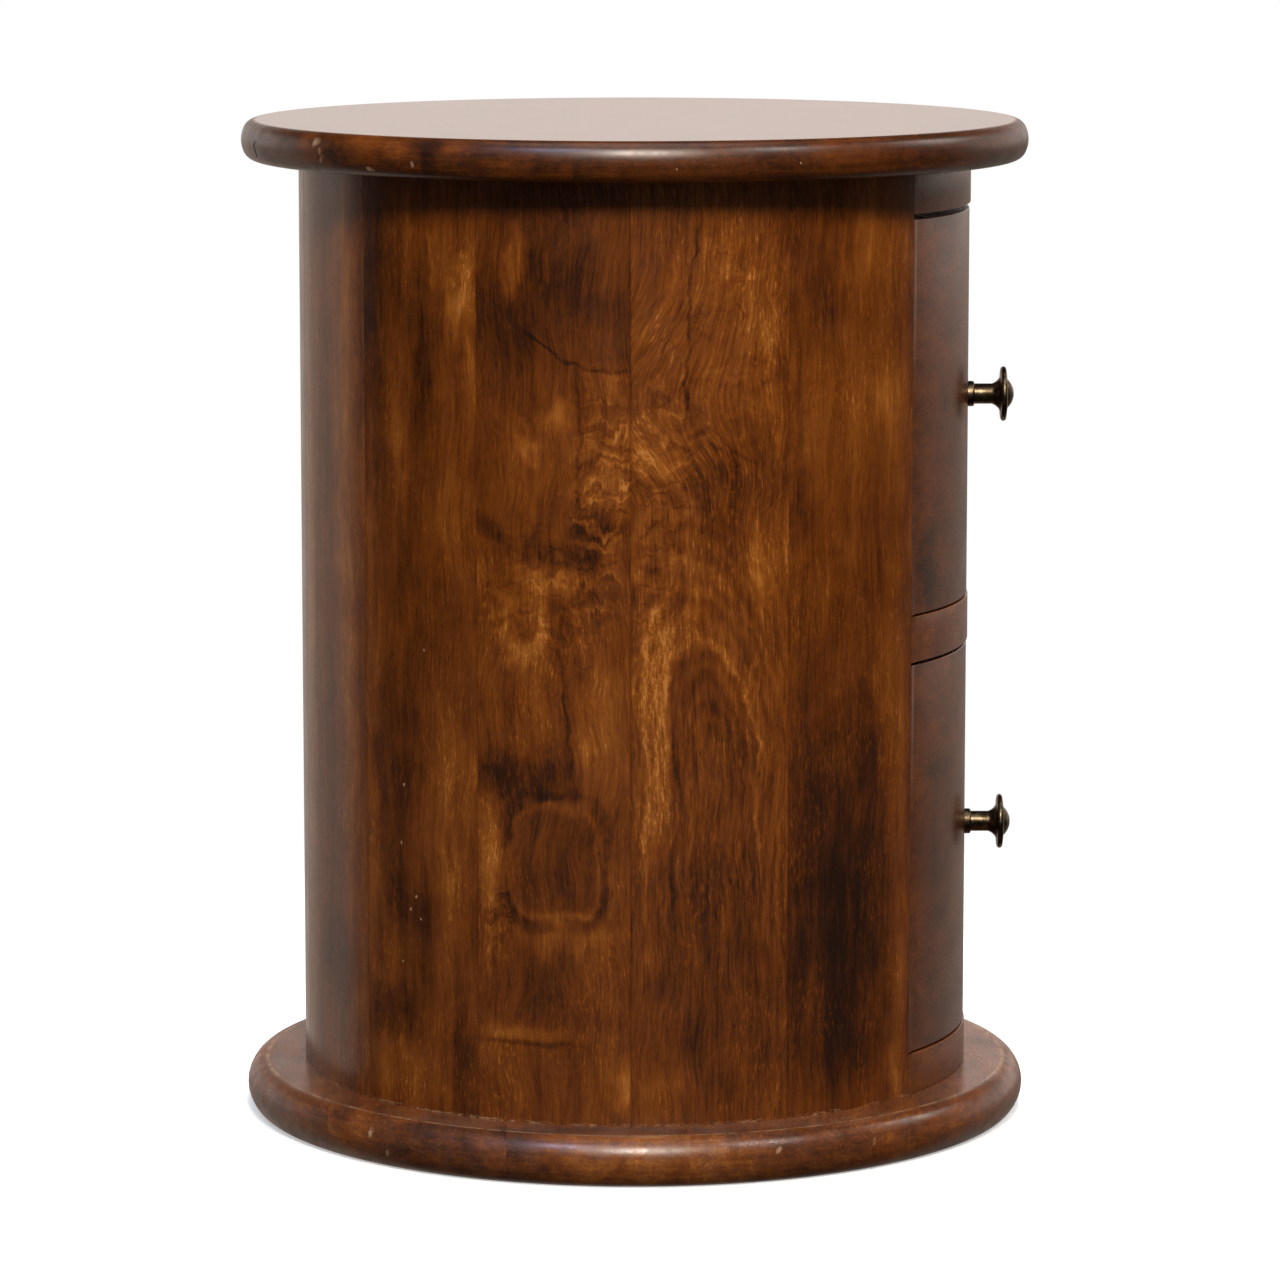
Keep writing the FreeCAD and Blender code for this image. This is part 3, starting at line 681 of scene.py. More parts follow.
def cathedral(flow, seed):
    """An arch of pale early wood with fainter rings in and round it, as a plain-sawn plank shows it."""
    up = flow.dot(ALONG)
    rise = flow.sum("MAXIMUM", up - ARCH_FOOT, 0.0)
    across = flow.dot(ACROSS) + rise * ARCH_LEAN - ARCH_MIDDLE
    waver = (grain(flow, *ARCH_WAVER, seed + 31.0) - 0.5) * 0.30
    far = oval(across, rise, ARCH_HALF_WIDTH, ARCH_RISE) + waver
    dots = grain(flow, *ARCH_DOTS, seed + 35.0).step(0.40, 0.64, 0.0, 0.12)
    strands = grain(flow, *ARCH_STRANDS, seed + 37.0).step(0.36, 0.66, 0.0, 0.16)
    outer_edge = across.step(6.0, -20.0, 1.30, 1.72)
    pale = far.step(0.92, 1.06) * (outer_edge - far).step(0.0, 0.30) * (dots + strands + 0.05)
    rings = flow.sum("SINE", far * RING_PACE) * far.step(3.2, 1.4) * RING_DEPTH
    inside = far.step(1.0, 0.8) * 0.08
    return pale * up.step(140.0, 215.0) + (rings - inside) * up.step(95.0, 150.0)


KNOT_MIDDLE = (1.5, 156.0)
KNOT_REACH = (24.5, 31.0)
KNOT_WAVER = (12.0, 16.0, 3.0)
KNOT_BREAKS = (14.0, 14.0, 2.0)
SWIRL_MIDDLE = (-14.0, 276.0)
SWIRL_REACH = (10.0, 19.0)


def knot_scar(flow, seed):
    """The oval left by a branch, ringed dark and then light, and a light swirl of grain above it."""
    across = flow.dot(ACROSS) - KNOT_MIDDLE[0]
    up = flow.dot(ALONG) - KNOT_MIDDLE[1]
    waver = (grain(flow, *KNOT_WAVER, seed + 31.0) - 0.5) * 0.20
    far = oval(across, up, *KNOT_REACH, power=4.0) + waver
    broken = grain(flow, *KNOT_BREAKS, seed + 33.0).step(0.32, 0.62, 0.2, 1.0)
    dark = far.step(0.86, 1.02) * far.step(1.24, 1.06)
    light = far.step(0.74, 0.88) * far.step(1.0, 0.88) * across.step(-25.0, 10.0, 0.35, 1.0)
    aside = flow.dot(ACROSS) - SWIRL_MIDDLE[0]
    rise = flow.dot(ALONG) - SWIRL_MIDDLE[1]
    round_swirl = oval(aside, rise, *SWIRL_REACH) + waver
    swirl = round_swirl.step(0.4, 0.95) * round_swirl.step(1.65, 1.0) * rise.step(14.0, -4.0)
    return (light * 0.24 - dark * 0.25) * broken - far.step(0.98, 0.7) * 0.10 + swirl * 0.17


RUBBED_FROM = drum_low * METRE + 1.6
RUBBED_FULLY = drum_low * METRE + 0.5
STRETCHES = (17.0, 17.0, 2.0)
SPECKS = (3.4, 1.0, 4.0)


def rubbed_foot(place, seed):
    """Pale specks where the drum meets the base."""
    near_foot = place.dot(ALONG).step(RUBBED_FROM, RUBBED_FULLY)
    stretches = grain(place, *STRETCHES, seed + 3.0).step(0.36, 0.60)
    return near_foot * stretches * grain(place, *SPECKS, seed).step(0.42, 0.62, 0.0, 0.75)


DUST_RISE = (300.0, 160.0)
DUST_ON_FOOT = 0.008


def dusty_foot(place, seed):
    """A breath of dust low on the drum, the same on every stave."""
    return place.dot(ALONG).step(*DUST_RISE, 0.0, DUST_ON_FOOT)


STAVE_FIGURES = {
    1: {
        "base": 0.44, "broad": 0.5, "sway": 3.0,
        "marks": ((14, 330, 10, 80, 0, 0.22), (-20, 140, 12, 70, 0, -0.24), (24, 90, 8, 60, 0, 0.18)),
    },
    2: {
        "base": 0.50, "fine": 0.55,
        "marks": ((-18, 400, 14, 40, 0, 0.22), (16, 250, 16, 60, 0, -0.20), (-10, 120, 14, 46, 0, 0.20)),
        "ripples": ((6, 380, 26, 46, 0, 0.8), (10, 160, 20, 40, 0, 0.9)),
    },
    3: {
        "base": 0.46,
        "marks": ((20, 430, 10, 40, 0, 0.25), (-16, 300, 14, 60, 0, -0.22), (14, 110, 14, 50, 0, 0.22)),
        "ripples": ((10, 300, 24, 70, 0, 0.8), (-12, 150, 20, 50, 0, 0.6)),
        "lines": ((6, 360, 1.4, 50, 4, -0.24), (-20, 230, 1.4, 40, -6, -0.22)),
    },
    4: {
        "base": 0.44, "broad": 0.55,
        "marks": ((-12, 210, 12, 70, 0, -0.25), (18, 330, 12, 60, 0, 0.25), (-24, 420, 8, 40, 0, 0.24),
                  (10, 80, 16, 40, 0, -0.18)),
    },
    5: {
        "base": 0.50, "fine": 0.55, "sway": 4.0,
        "marks": ((-22, 330, 12, 60, 0, 0.20), (22, 180, 12, 70, 0, -0.20), (0, 440, 30, 20, 0, -0.14)),
        "ripples": ((-4, 240, 30, 60, 0, 0.9), (8, 90, 26, 40, 0, 0.8)),
        "lines": ((12, 300, 1.4, 60, 3, -0.24),),
    },
    6: {
        "base": 0.45, "broad": 0.5,
        "marks": ((10, 120, 16, 70, 0, -0.25), (-14, 380, 14, 60, 0, 0.24), (26, 300, 8, 70, 0, 0.20),
                  (-24, 220, 12, 40, 0, -0.20)),
    },
    7: {
        "base": 0.52, "broad": 0.7, "sway": 3.0,
        "marks": ((22, 280, 7, 200, 0, 0.26), (2, 280, 8, 190, 0, -0.20), (-26, 300, 8, 180, 0, 0.22),
                  (36, 420, 4, 80, 0, -0.22), (6, 95, 24, 24, 0, -0.25)),
    },
    8: {
        "base": 0.43, "broad": 0.65, "sway": 3.0,
        "chips": (
            (-8, 188, 0.7, 0.9, 0, 0.6), (5, 257, 0.6, 0.8, 0, 0.5), (-11, 158, 0.6, 1.1, 0, 0.6),
            (-1, 133, 0.8, 1.0, 0, 0.6), (-3, 126, 0.7, 1.0, 0, 0.6), (2, 121, 0.6, 0.9, 0, 0.6),
            (-9, 99, 0.6, 0.9, 0, 0.5)),
        "marks": (
            (28, 436, 8, 24, -12, 0.44), (33, 400, 4, 26, 0, 0.24), (10, 454, 2, 16, 0, 0.20),
            (6, 402, 9, 36, 0, -0.22), (-11, 352, 5, 30, 0, 0.20), (-10, 205, 12, 46, 0, -0.22),
            (20, 176, 18, 58, 0, 0.22), (-4, 127, 18, 15, 0, -0.22), (-17, 75, 17, 14, 0, -0.26),
            (-10, 42, 28, 17, 0, 0.22), (26, 58, 10, 28, 0, -0.22), (-20, 440, 20, 44, 0, -0.14),
            (-31, 420, 12, 80, 0, -0.18), (-33, 200, 5, 150, 0, 0.20), (22, 300, 14, 60, 0, 0.06)),
    },
    9: {
        "base": 0.47, "fine": 0.50,
        "marks": (
            (-19, 450, 6, 18, -8, 0.42), (26, 456, 14, 22, 0, 0.14), (-24, 405, 18, 50, 0, -0.10),
            (0, 436, 44, 28, 0, -0.11), (-11, 360, 8, 8, 0, 0.28), (2, 375, 9, 8, 0, 0.28),
            (-12, 326, 28, 13, 0, -0.06), (28, 350, 15, 46, 0, 0.26), (-3, 296, 20, 9, 0, 0.26),
            (24, 226, 16, 40, 0, 0.22), (-18, 250, 22, 34, 0, 0.08), (-14, 199, 34, 12, 0, -0.30),
            (0, 440, 60, 60, 0, -0.17), (13, 120, 28, 9, 0, 0.22), (-31, 158, 8, 30, 0, 0.30),
            (-13, 95, 22, 20, 0, -0.20), (35, 44, 6, 14, 0, 0.32), (20, 80, 20, 20, 0, -0.06)),
        "ripples": (
            (26, 345, 16, 60, 0, 1.3), (-4, 285, 36, 40, 0, 0.9), (-28, 130, 13, 14, 0, 1.2),
            (0, 440, 36, 34, 0, 0.2)),
        "lines": (
            (-5, 411, 1.2, 14, 50, -0.26), (11, 401, 1.2, 8, 72, -0.26), (28, 398, 1.2, 13, 90, -0.24),
            (-31, 319, 5.0, 17, 55, -0.20), (-4, 308, 6.5, 28, 90, -0.22), (28, 320, 4.0, 18, 98, -0.20),
            (14, 352, 1.4, 44, 0, -0.20), (7.7, 228, 1.4, 36, 6, -0.26),
            (-12, 70, 4.0, 32, 90, 0.22), (-12, 65, 1.8, 30, 90, -0.22)),
        "extra": knot_scar,
    },
    10: {
        "base": 0.50, "fine": 0.66, "sway": 4.0,
        "pulls": ((-44, 385, 90, 66, 27.0),),
        "marks": (
            (10, 420, 26, 66, 0, 0.12), (9, 336, 26, 30, 0, -0.16), (-27, 366, 16, 22, 0, 0.20),
            (-23, 316, 19, 28, 0, 0.14), (27, 308, 12, 22, 0, 0.20), (-31, 222, 9, 56, 0, 0.14),
            (4, 90, 46, 70, 0, -0.20), (-26, 40, 12, 16, 0, 0.18)),
        "ripples": (
            (8, 410, 34, 70, 0, 0.5), (-24, 350, 18, 40, 0, 1.1), (-28, 290, 16, 40, 0, 0.8)),
        "lines": (
            (-8.5, 456, 1.2, 18, -9, -0.30), (-11, 424, 1.2, 18, 0, -0.30), (-13, 388, 1.2, 20, -3, -0.30),
            (-9, 366, 1.6, 7, 115, -0.14), (1, 363, 1.6, 9, 50, -0.14), (16, 355, 1.6, 14, 68, -0.12),
            (21, 250, 1.4, 17, -15, 0.20), (23, 174, 1.4, 62, 6, 0.20)),
        "extra": cathedral,
    },
    11: {
        "base": 0.47, "broad": 0.60, "sway": 3.0,
        "marks": (
            (-29, 436, 14, 38, 0, -0.20), (10, 454, 30, 20, 0, 0.13), (2, 372, 38, 36, 0, 0.16),
            (20, 379, 10, 18, 0, 0.20), (-36, 346, 6, 50, 0, -0.24), (22, 236, 17, 30, 0, 0.15),
            (-12, 140, 36, 120, 0, -0.37), (-6, 90, 26, 66, 0, -0.14), (30, 150, 10, 80, 0, 0.06),
            (28, 38, 6, 16, 0, 0.34)),
    },
}

for number in range(1, STAVE_COUNT + 1):
    node = f"stave_{number:02d}"
    start, end = stave_span(node)
    stave = coopered_stave(f"lacquered_{node}", start, end)
    if number == 1:
        sawn_off(stave, (half_opening, 0, 0), (-1, 0, 0))
    if number == STAVE_COUNT:
        sawn_off(stave, (-half_opening, 0, 0), (1, 0, 0))
    finish, place = new_finish(f"stave {number}")
    half_width = (end - start) / 2 * drum_radius * METRE
    stained_wood(
        finish, stave_place(place, (start + end) / 2), STAVE_SEED * number, half_width=half_width,
        worn=rubbed_foot, dusty=dusty_foot, **STAVE_FIGURES[number])
    fitted(stave, node, finish)


# Rails: three hardwood rails across the opening, dowelled between the staves beside it. Their faces
# are turned to the drum's round and their backs are flat. The drawers run between them.
BOW_ANGLE = math.radians(45)
BOW_STEPS = 64
RAIL_EASE = 0.0004
EASE_STEPS = 3
RAIL_SEED = 50.0
RAIL_TONE = 0.48


def bow_place(place):
    """Millimetres across, along and into a bowed piece whose grain runs from side to side."""
    outwards = place.dot((0.0, -1.0, 0.0))
    sideways = place.dot((1.0, 0.0, 0.0))
    up = place.dot((0.0, 0.0, 1.0))
    along = place.sum("ARCTAN2", sideways, outwards) * (drum_radius * METRE)
    return place.node(
        "ShaderNodeCombineXYZ", {}, {"X": up * METRE, "Y": along, "Z": outwards * METRE})


def eased_face(piece, radius, ease):
    """Rounds the edges all round a bowed face."""
    bpy.ops.object.mode_set(mode="EDIT")
    on_face = radius - TINY
    pick(
        piece,
        "EDGE",
        lambda edge: all(math.hypot(end.co.x, end.co.y) > on_face for end in edge.verts)
        and any(math.hypot(*face.calc_center_median().xy) < on_face - ease for face in edge.link_faces))
    bpy.ops.mesh.bevel(offset=ease, segments=EASE_STEPS, affect="EDGES")
    bpy.ops.object.mode_set(mode="OBJECT")


for number, node in enumerate(("bottom_rail", "middle_rail", "top_rail"), 1):
    low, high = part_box(node)
    rail_back = -high.y
    inner = rail_back / math.cos(BOW_ANGLE)
    rail = bowed(f"lacquered_{node}", inner, drum_radius, (low.z, high.z), BOW_ANGLE, BOW_STEPS)
    flattened(rail, inner, drum_radius, rail_back)
    for side in (-1, 1):
        sawn_off(rail, (side * half_opening, 0, 0), (side, 0, 0))
    eased_face(rail, drum_radius, RAIL_EASE)
    finish, place = new_finish(node.replace("_", " "))
    stained_wood(finish, bow_place(place), RAIL_SEED + number, base=RAIL_TONE)
    fitted(rail, node, finish)


# Runners, guides, kickers and the rail behind them: plain planed softwood inside the drum, glued
# and screwed. They carry the drawers and keep them straight. The stops are of the same wood, and the
# dowels are a little paler.
STREAK_LENGTH = 160.0
STREAK_DETAIL = 3.0
FIBRES = (0.9, 30.0, 2.0)


def bare_wood(name, seed, colour, dark, width, along_axis):
    """Planed bare wood with soft streaks along its grain."""
    finish, place = new_finish(name)
    spot = board_place(place, along_axis)
    streaks = grain(spot, width, STREAK_LENGTH, STREAK_DETAIL, seed)
    fibres = grain(spot, *FIBRES, seed + 2.0)
    share = (streaks - 0.5) * 1.6 + (fibres - 0.5) * 0.7 + 0.4
    tinted = share.node("ShaderNodeClamp", {}, {0: share}).blend((*colour, 1.0), (*dark, 1.0))
    lacquered(finish, tinted, fibres * 0.2 + 0.5, fibres * 0.05)
    return finish


def refinished(nodes, finish):
    """Gives CAD nodes that keep their own shape a finish."""
    for node in nodes:
        frame["nodes"][node].data.materials[0] = finish


PINE = (0.36, 0.205, 0.090)
PINE_DARK = (0.24, 0.120, 0.045)
DOWEL_WOOD = (0.42, 0.27, 0.13)
runners = [
    f"{place}_{side}"
    for place in ("bottom_runner", "middle_runner", "top_kicker", "lower_guide", "upper_guide")
    for side in ("left", "right")]
refinished(runners, bare_wood("runner wood", 61.0, PINE, PINE_DARK, 6.0, Y_AXIS))
cross_wood = bare_wood("cross wood", 63.0, PINE, PINE_DARK, 6.0, X_AXIS)
refinished(("back_rail", "drawer_stops"), cross_wood)
refinished(("frame_dowels",), bare_wood("dowel wood", 65.0, DOWEL_WOOD, PINE, 3.0, Y_AXIS))


# Drawer boxes: sides dovetailed into the front, a back set between them and a thin panel in grooves,
# pinned under the back. All are planed pale wood, left bare inside.
BOX_WOOD = (0.40, 0.235, 0.105)
BOX_DARK = (0.29, 0.155, 0.062)
PANEL_WOOD = (0.44, 0.28, 0.14)
DRAWERS = ("lower", "upper")
side_wood = bare_wood("drawer side wood", 71.0, BOX_WOOD, BOX_DARK, 9.0, Y_AXIS)
back_wood = bare_wood("drawer back wood", 73.0, BOX_WOOD, BOX_DARK, 9.0, X_AXIS)
panel_wood = bare_wood("drawer panel wood", 75.0, PANEL_WOOD, BOX_WOOD, 22.0, X_AXIS)
for drawer in DRAWERS:
    refinished((f"{drawer}_drawer_left_side", f"{drawer}_drawer_right_side"), side_wood)
    refinished((f"{drawer}_drawer_back",), back_wood)
    refinished((f"{drawer}_drawer_bottom",), panel_wood)


# Drawer fronts: thick hardwood, turned to the drum's round a hair inside it and hollow behind. Their
# ends are socketed for the sides' dovetails, a groove takes the panel, and a hole the knob's bolt.
FRONT_EASE = 0.0006
HOLE_MARGIN = 0.005
FRONT_SEED = 80.0
FRONT_SEED_STEP = 7.0
FRONT_TONE = 0.34
FRONT_STREAKS = 0.25
FRONT_MARKS = {
    "lower": ((150, -70, 50, 16, 0, -0.12), (60, 40, 16, 40, 0, 0.12), (170, 50, 14, 50, 0, -0.12)),
    "upper": (
        (290, -92, 20, 9, 0, -0.20), (276, -74, 8, 18, 0, -0.14), (430, 40, 12, 50, 0, 0.12),
        (330, 50, 14, 44, 0, -0.12)),
}


def scored(piece, height):
    """A ring of edges all round the piece at a height."""
    bpy.ops.object.mode_set(mode="EDIT")
    bpy.ops.mesh.select_all(action="SELECT")
    bpy.ops.mesh.bisect(plane_co=(0, 0, height), plane_no=(0, 0, 1))
    bpy.ops.object.mode_set(mode="OBJECT")


for number, drawer in enumerate(DRAWERS, 1):
    node = f"{drawer}_drawer_front"
    low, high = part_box(node)
    front_radius = -low.y
    washer_seat = -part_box(f"{drawer}_knob_washer")[1].y
    front = bowed(f"lacquered_{node}", washer_seat, front_radius, (low.z, high.z), BOW_ANGLE, BOW_STEPS)
    sawn_off(front, (low.x, 0, 0), (-1, 0, 0))
    sawn_off(front, (high.x, 0, 0), (1, 0, 0))
    sawn_off(front, (0, high.y, 0), (0, 1, 0))
    eased_face(front, front_radius, FRONT_EASE)
    knob_height = sum(corner.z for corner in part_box(f"{drawer}_knob")) / 2
    for side in (-1, 1):
        scored(front, knob_height + side * HOLE_MARGIN)
    for other in ("drawer_left_side", "drawer_right_side", "drawer_bottom", "knob_bolt"):
        cut_for(front, f"{drawer}_{other}")
    finish, place = new_finish(f"{drawer} drawer front")
    stained_wood(
        finish, bow_place(place), FRONT_SEED + FRONT_SEED_STEP * number, base=FRONT_TONE,
        fine=FRONT_STREAKS, marks=FRONT_MARKS[drawer])
    fitted(front, node, finish)


# Knobs: cast and turned brass, darkened with age. A collar sits on the drawer front, a neck flares
# into a flat rim, and a low button stands on the face. A bolt from inside holds each one.
KNOB_SIDES = 72
KNOB_STEPS = 10
COLLAR_STEPS = 5
KNOB_BORE = 0.002
KNOB_BORE_DEPTH = 0.011
COLLAR = 0.0065
COLLAR_LENGTH = 0.0034
COLLAR_ROUND = 0.001
NECK = 0.0052
NECK_END = 0.0124
FLARE = 0.0045
FLARE_LEAN = 18
RIM = 0.014
RIM_WIDTH = 0.0028
FACE_RISE = 0.0007
BUTTON = 0.0074
BUTTON_HEIGHT = 0.0033
BUTTON_END = 88


def turned_knob(name, seat):
    """A knob turned about its axis, from the bolt's bore out, and laid on its seat facing the front."""
    lean = math.radians(FLARE_LEAN)
    flare = FLARE / (math.cos(lean) - math.sin(lean))
    flare_side = NECK + flare * math.cos(lean)
    flare_foot = NECK_END - flare * math.sin(lean)
    rim_low = NECK_END + FLARE
    rim_middle = rim_low + RIM_WIDTH / 2
    button_low = rim_low + RIM_WIDTH + FACE_RISE
    ball = (BUTTON ** 2 + BUTTON_HEIGHT ** 2) / (2 * BUTTON_HEIGHT)
    ball_middle = button_low + BUTTON_HEIGHT - ball
    ball_start = math.degrees(math.acos(BUTTON / ball))
    collar_middle = (COLLAR - COLLAR_ROUND, COLLAR_LENGTH - COLLAR_ROUND)
    rings = [(KNOB_BORE, KNOB_BORE_DEPTH), (KNOB_BORE, 0.0), (COLLAR, 0.0)]
    rings += bend(*collar_middle, COLLAR_ROUND, 0, 90, COLLAR_STEPS)
    rings += [(NECK, COLLAR_LENGTH)]
    rings += bend(flare_side, flare_foot, flare, 180 - FLARE_LEAN, 90 + FLARE_LEAN, KNOB_STEPS)
    rings += bend(RIM - RIM_WIDTH / 2, rim_middle, RIM_WIDTH / 2, -90, 90, KNOB_STEPS)
    rings += bend(0.0, ball_middle, ball, ball_start, BUTTON_END, KNOB_STEPS)
    knob = turned(name, rings, KNOB_SIDES)
    knob.rotation_euler.x = math.pi / 2
    knob.location = seat
    bpy.ops.object.transform_apply(location=True, rotation=True, scale=False)
    return knob


def metal_finish(name):
    """An empty finish of metal, and the place on the piece in millimetres."""
    finish, place = new_finish(name)
    finish.node_tree.nodes["Principled BSDF"].inputs["Metallic"].default_value = 1.0
    return finish, place.node("ShaderNodeMapping", {}, {"Vector": place, "Scale": (METRE, METRE, METRE)})


BRASS_DARK = (0.070, 0.051, 0.031, 1.0)
BRASS_BRIGHT = (0.20, 0.155, 0.098, 1.0)
TARNISH = (3.0, 3.0, 4.0)
BRASS_SPECKS = (0.5, 0.5, 2.0)


def aged_brass(name):
    """Dark brown brass, rubbed brighter in spots, with a finely pitted skin."""
    finish, spot = metal_finish(name)
    tarnish = grain(spot, *TARNISH, 91.0)
    specks = grain(spot, *BRASS_SPECKS, 93.0)
    tinted = tarnish.step(0.35, 0.7).blend(BRASS_DARK, BRASS_BRIGHT)
    lacquered(finish, tinted, 0.27 + tarnish * 0.18, specks * 0.02 + tarnish * 0.03)
    return finish


for drawer in DRAWERS:
    node = f"{drawer}_knob"
    low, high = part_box(node)
    seat = Vector(((low.x + high.x) / 2, high.y, (low.z + high.z) / 2))
    knob = turned_knob(f"brass_{node}", seat)
    fitted(knob, node, aged_brass(f"{drawer} knob brass"))


# Screws, bolts, washers and pins: bright drawn steel, threaded ends hidden in the wood. The bolts
# hold the knobs, and the rest hold the carcass and the drawers' panels together.
STEEL_BRIGHT = (0.50, 0.50, 0.50, 1.0)
STEEL_DULL = (0.30, 0.29, 0.28, 1.0)
STEEL_SPOTS = (2.0, 2.0, 3.0)
finish, spot = metal_finish("screw steel")
dulled = grain(spot, *STEEL_SPOTS, 95.0)
tinted = dulled.blend(STEEL_BRIGHT, STEEL_DULL)
lacquered(finish, tinted, 0.26 + dulled * 0.2, dulled * 0.02)
fastenings = ["stave_screws", "runner_screws", "top_screws", "back_rail_screws"]
for drawer in DRAWERS:
    fastenings += [f"{drawer}_drawer_pins", f"{drawer}_knob_bolt", f"{drawer}_knob_washer"]
refinished(fastenings, finish)


# Top: a thinner round slab of the same wood, also glued up from five boards, with a rounded rim.
# It overhangs the drum and is screwed down from inside, through the kickers under it.
TOP_BELLY = 0.0145
TOP_LEAN = 25
TOP_CHIPS = (
    (156, -125, 3.4, 3.0, 0, 506, 3.0, 0.6), (153, -128, 1.2, 1.6, 0, 499, 4.0, 0.5),
    (127, -155, 2.0, 1.4, 0, 493, 1.4, 0.5), (107, -169, 1.4, 1.4, 0, 497, 2.0, 0.4),
    (-80, -183, 0.6, 1.0, 0, 499, 0.6, 0.6), (-20, -198, 0.6, 1.0, 0, 497, 0.6, 0.6),
    (129, -153, 2.4, 2.0, 0, 494, 1.2, 0.45), (124, -157, 1.6, 1.6, 0, 493, 1.0, 0.4),
    (162, -117, 2.0, 2.0, 0, 508, 1.6, 0.5), (60, -190, 1.2, 1.0, 0, 500, 1.0, 0.4))
TOP_MARKS = (
    (132, -150, 22, 16, 0, 506, 7.0, 0.30), (160, -118, 8, 8, 0, 505, 6.0, 0.22),
    (60, -190, 16, 12, 0, 495, 8.0, 0.10), (-100, -173, 24, 16, 0, 503, 8.0, 0.12),
    (113, -165, 8, 8, 0, 504, 6.0, 0.34), (88, -180, 8, 7, 0, 506, 4.0, 0.26),
    (99, -174, 4, 5, 0, 500, 9.0, -0.22), (146, -137, 5, 5, 0, 500, 8.0, -0.20))
TOP_CRACKS = ((189, -66, 1.8, 3.4, 0, 498, 6.0, 1.0),)
HANDLED_RIM = (192.0, 195.0)


def handled_rim(place, seed):
    """How much duller the rim is than the polished flat, streaked by hands."""
    rubbed = grain(place, *RUBBINGS, seed + 41.0).step(0.35, 0.65, 0.15, 0.21)
    return reach_from_axis(place).step(*HANDLED_RIM) * rubbed


TOP_TONES = (0.22, 0.25, 0.27, 0.23, 0.22)
TOP_FIGURE = {
    "mottle": 0.25, "broad": 0.25, "fine": 0.25, "gloss": 0.17, "relief": 0.07, "flecked": 0.25,
    "extra": turned_streaks, "chips": TOP_CHIPS, "marks": TOP_MARKS, "cracks": TOP_CRACKS,
    "dulled": handled_rim}
top_boards = [{"base": tone, **TOP_FIGURE} for tone in TOP_TONES]
slab_of_boards("top", TOP_BELLY, TOP_LEAN, top_boards)


# Room: a pale floor that keeps the chest's shadow, a white surround, and soft studio light from the
# camera's side. The surround is bright behind the chest and dark in front, as lacquer shows it.
FLOOR_RADIUS = 0.8
FLOOR_FADE = 0.45
FLOOR_SIDES = 96
FLOOR_LOOK = {
    "Base Color": (0.75, 0.75, 0.75, 1.0), "Emission Color": (1.0, 1.0, 1.0, 1.0),
    "Emission Strength": 0.45, "Roughness": 0.9, "Specular IOR Level": 0.0}
bpy.ops.object.select_all(action="DESELECT")
bpy.ops.mesh.primitive_circle_add(vertices=FLOOR_SIDES, radius=FLOOR_RADIUS, fill_type="NGON")
floor = bpy.context.object
floor.name = "floor"
floor.visible_diffuse = False
floor.visible_glossy = False
finish, place = new_finish("pale floor")
shader = finish.node_tree.nodes["Principled BSDF"]
for name, value in FLOOR_LOOK.items():
    shader.inputs[name].default_value = value
reach = place.vector("LENGTH", place)
finish.node_tree.links.new(reach.step(FLOOR_RADIUS, FLOOR_FADE).socket, shader.inputs["Alpha"])
floor.data.materials.append(finish)

HORIZON = (-0.08, 0.02)
WALL_LEVEL = 1.06
FLOOR_LEVEL = 0.36
LEFT_FLOOR_LEVEL = 0.42
STRIP_DIMMING = 0.40
AMBIENT_BELOW = 0.17
AMBIENT_ABOVE = 0.36
WHITE = (1.0, 1.0, 1.0, 1.0)
WARM_FLOOR = (1.0, 0.80, 0.68, 1.0)
WARM_WALL = (1.0, 0.88, 0.81, 1.0)
world = bpy.data.worlds.new("studio")
bpy.context.scene.world = world
world.use_nodes = True
surround = Tint(world.node_tree, world.node_tree.nodes.new("ShaderNodeTexCoord").outputs["Generated"])
ahead = surround.dot((1.0, 0.0, 0.0))
aside = surround.dot((0.0, 1.0, 0.0))
upward = surround.dot((0.0, 0.0, 1.0))
behind = ahead.step(0.33, 0.45)
left = aside.step(-0.2, 0.3)
dim_strip = ahead.step(0.54, 0.66) * ahead.step(0.92, 0.80)
below = (left * LEFT_FLOOR_LEVEL + FLOOR_LEVEL) * (1 - dim_strip * left * STRIP_DIMMING)
above = upward.step(*HORIZON, below, WALL_LEVEL)
light_path = world.node_tree.nodes.new("ShaderNodeLightPath")
seen = Tint(world.node_tree, light_path.outputs["Is Camera Ray"])
glossy = Tint(world.node_tree, light_path.outputs["Is Glossy Ray"])
through = Tint(world.node_tree, light_path.outputs["Is Transmission Ray"])
mirrored = glossy + through
low_sky = upward.step(0.45, 0.20)
ambient = upward.step(-0.5, 0.5, AMBIENT_BELOW, AMBIENT_ABOVE)
mirror_light = behind * above * low_sky
strength = seen + (1 - seen) * (mirrored * mirror_light + (1 - mirrored) * ambient)
mirror_tint = upward.step(*HORIZON).blend(WARM_FLOOR, WARM_WALL)
tinted = mirrored.blend(WHITE, mirror_tint)
background = world.node_tree.nodes["Background"]
world.node_tree.links.new(tinted.socket, background.inputs["Color"])
world.node_tree.links.new(strength.socket, background.inputs["Strength"])


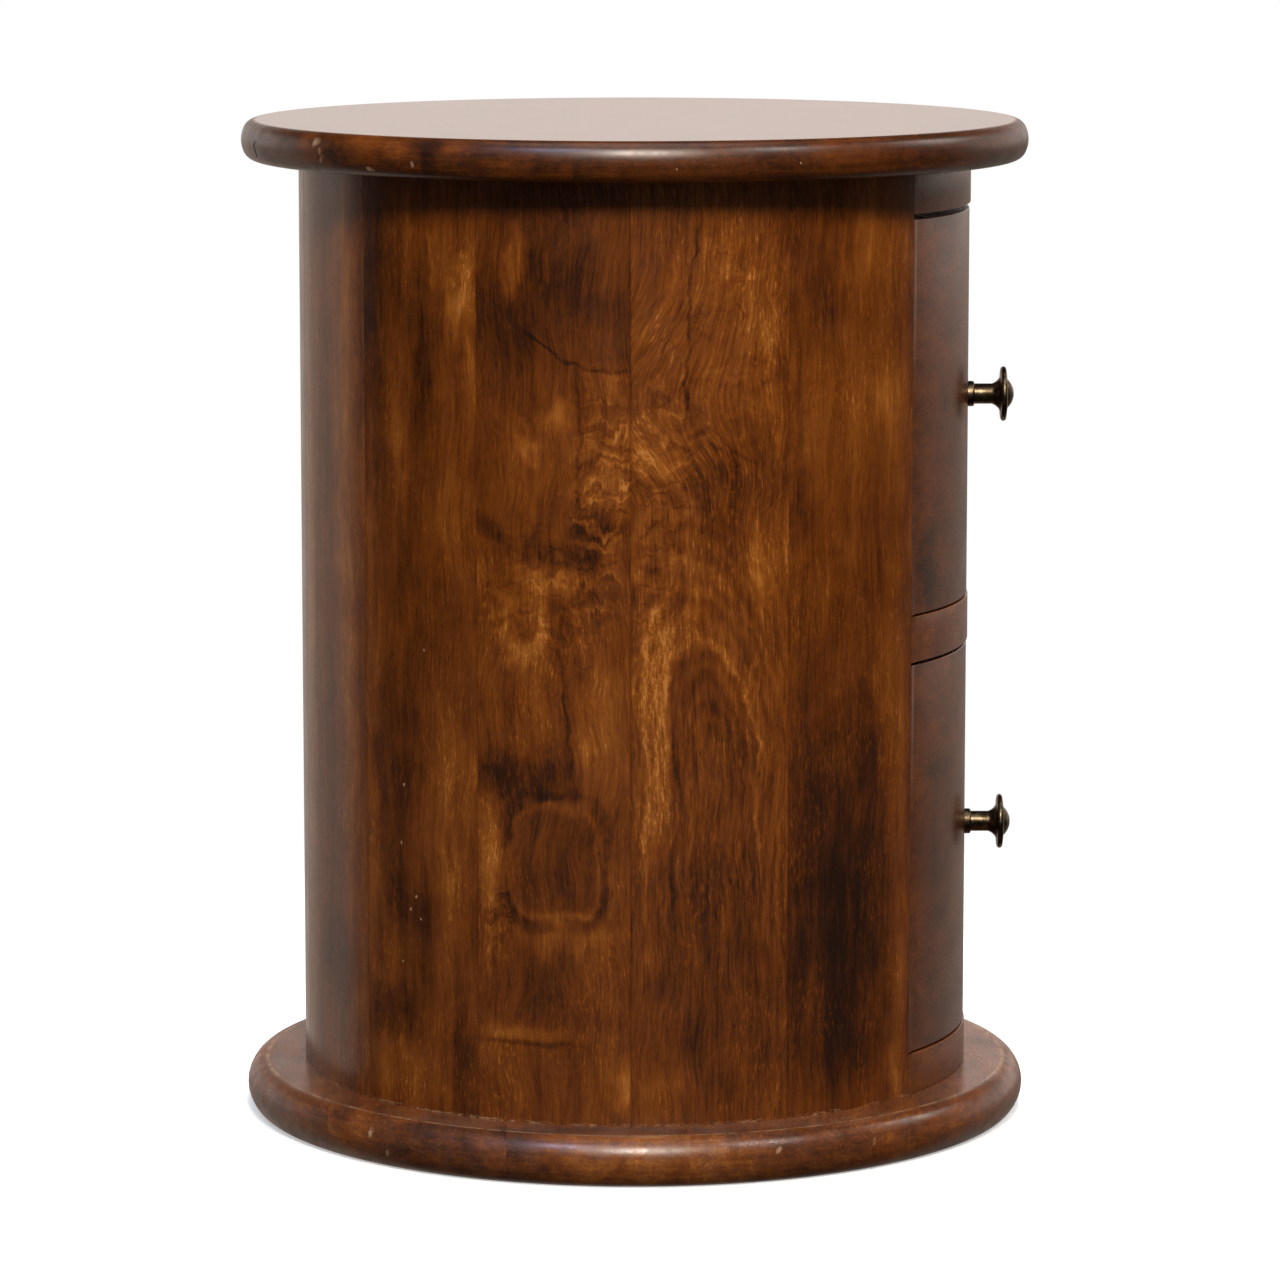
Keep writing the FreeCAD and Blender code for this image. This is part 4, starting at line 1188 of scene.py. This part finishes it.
def soft_light(name, azimuth, elevation, distance, width, power, colour):
    """A round lamp aimed at the middle of the drum. Azimuth is from the camera, to its right."""
    turn = math.radians(azimuth)
    rise = math.radians(elevation)
    aim = Vector((0.0, 0.0, (drum_low + drum_high) / 2))
    back = Vector((-math.cos(turn) * math.cos(rise), -math.sin(turn) * math.cos(rise), math.sin(rise)))
    data = bpy.data.lights.new(name, "AREA")
    data.shape = "ELLIPSE"
    data.size = width
    data.size_y = width
    data.energy = power
    data.color = colour
    lamp = bpy.data.objects.new(name, data)
    bpy.context.scene.collection.objects.link(lamp)
    lamp.location = aim + back * distance
    lamp.rotation_euler = (-back).to_track_quat("-Z", "Y").to_euler()
    return lamp


LAMP_DISTANCE = 2.8
OVERHEAD_DISTANCE = 2.2
soft_light("key", 2.0, 36.0, LAMP_DISTANCE, 0.6, 71.0, (1.0, 0.90, 0.78))
soft_light("left window", -26.0, 46.0, LAMP_DISTANCE, 0.25, 16.0, (0.45, 0.62, 1.0))
soft_light("right window", 47.0, 44.0, LAMP_DISTANCE, 0.25, 16.0, (1.0, 0.9, 0.86))
soft_light("overhead", 0.0, 85.0, OVERHEAD_DISTANCE, 1.6, 10.0, (1.0, 1.0, 1.0))
back_lamp = soft_light("back", 172.0, 40.0, LAMP_DISTANCE, 0.9, 54.0, (1.0, 0.93, 0.84))
back_lamp.visible_glossy = False
soft_light("drawer side", 105.0, 34.0, LAMP_DISTANCE, 0.9, 12.0, (1.0, 0.95, 0.88))

CAMERA_DISTANCE = 2.9407
CAMERA_HEIGHT = 0.6781
CAMERA_PITCH = 0.1474
CAMERA_YAW = 0.0009
SENSOR_WIDTH = 36.0
LENS = 162.2
camera_data = bpy.data.cameras.new("camera")
camera_data.sensor_width = SENSOR_WIDTH
camera_data.lens = LENS
camera = bpy.data.objects.new("camera", camera_data)
bpy.context.scene.collection.objects.link(camera)
camera.location = (-CAMERA_DISTANCE, 0.0, CAMERA_HEIGHT)
sight = Vector((
    math.cos(CAMERA_PITCH) * math.cos(CAMERA_YAW),
    -math.cos(CAMERA_PITCH) * math.sin(CAMERA_YAW),
    -math.sin(CAMERA_PITCH)))
camera.rotation_euler = sight.to_track_quat("-Z", "Y").to_euler()
bpy.context.scene.camera = camera
bpy.context.scene.view_settings.view_transform = "Standard"
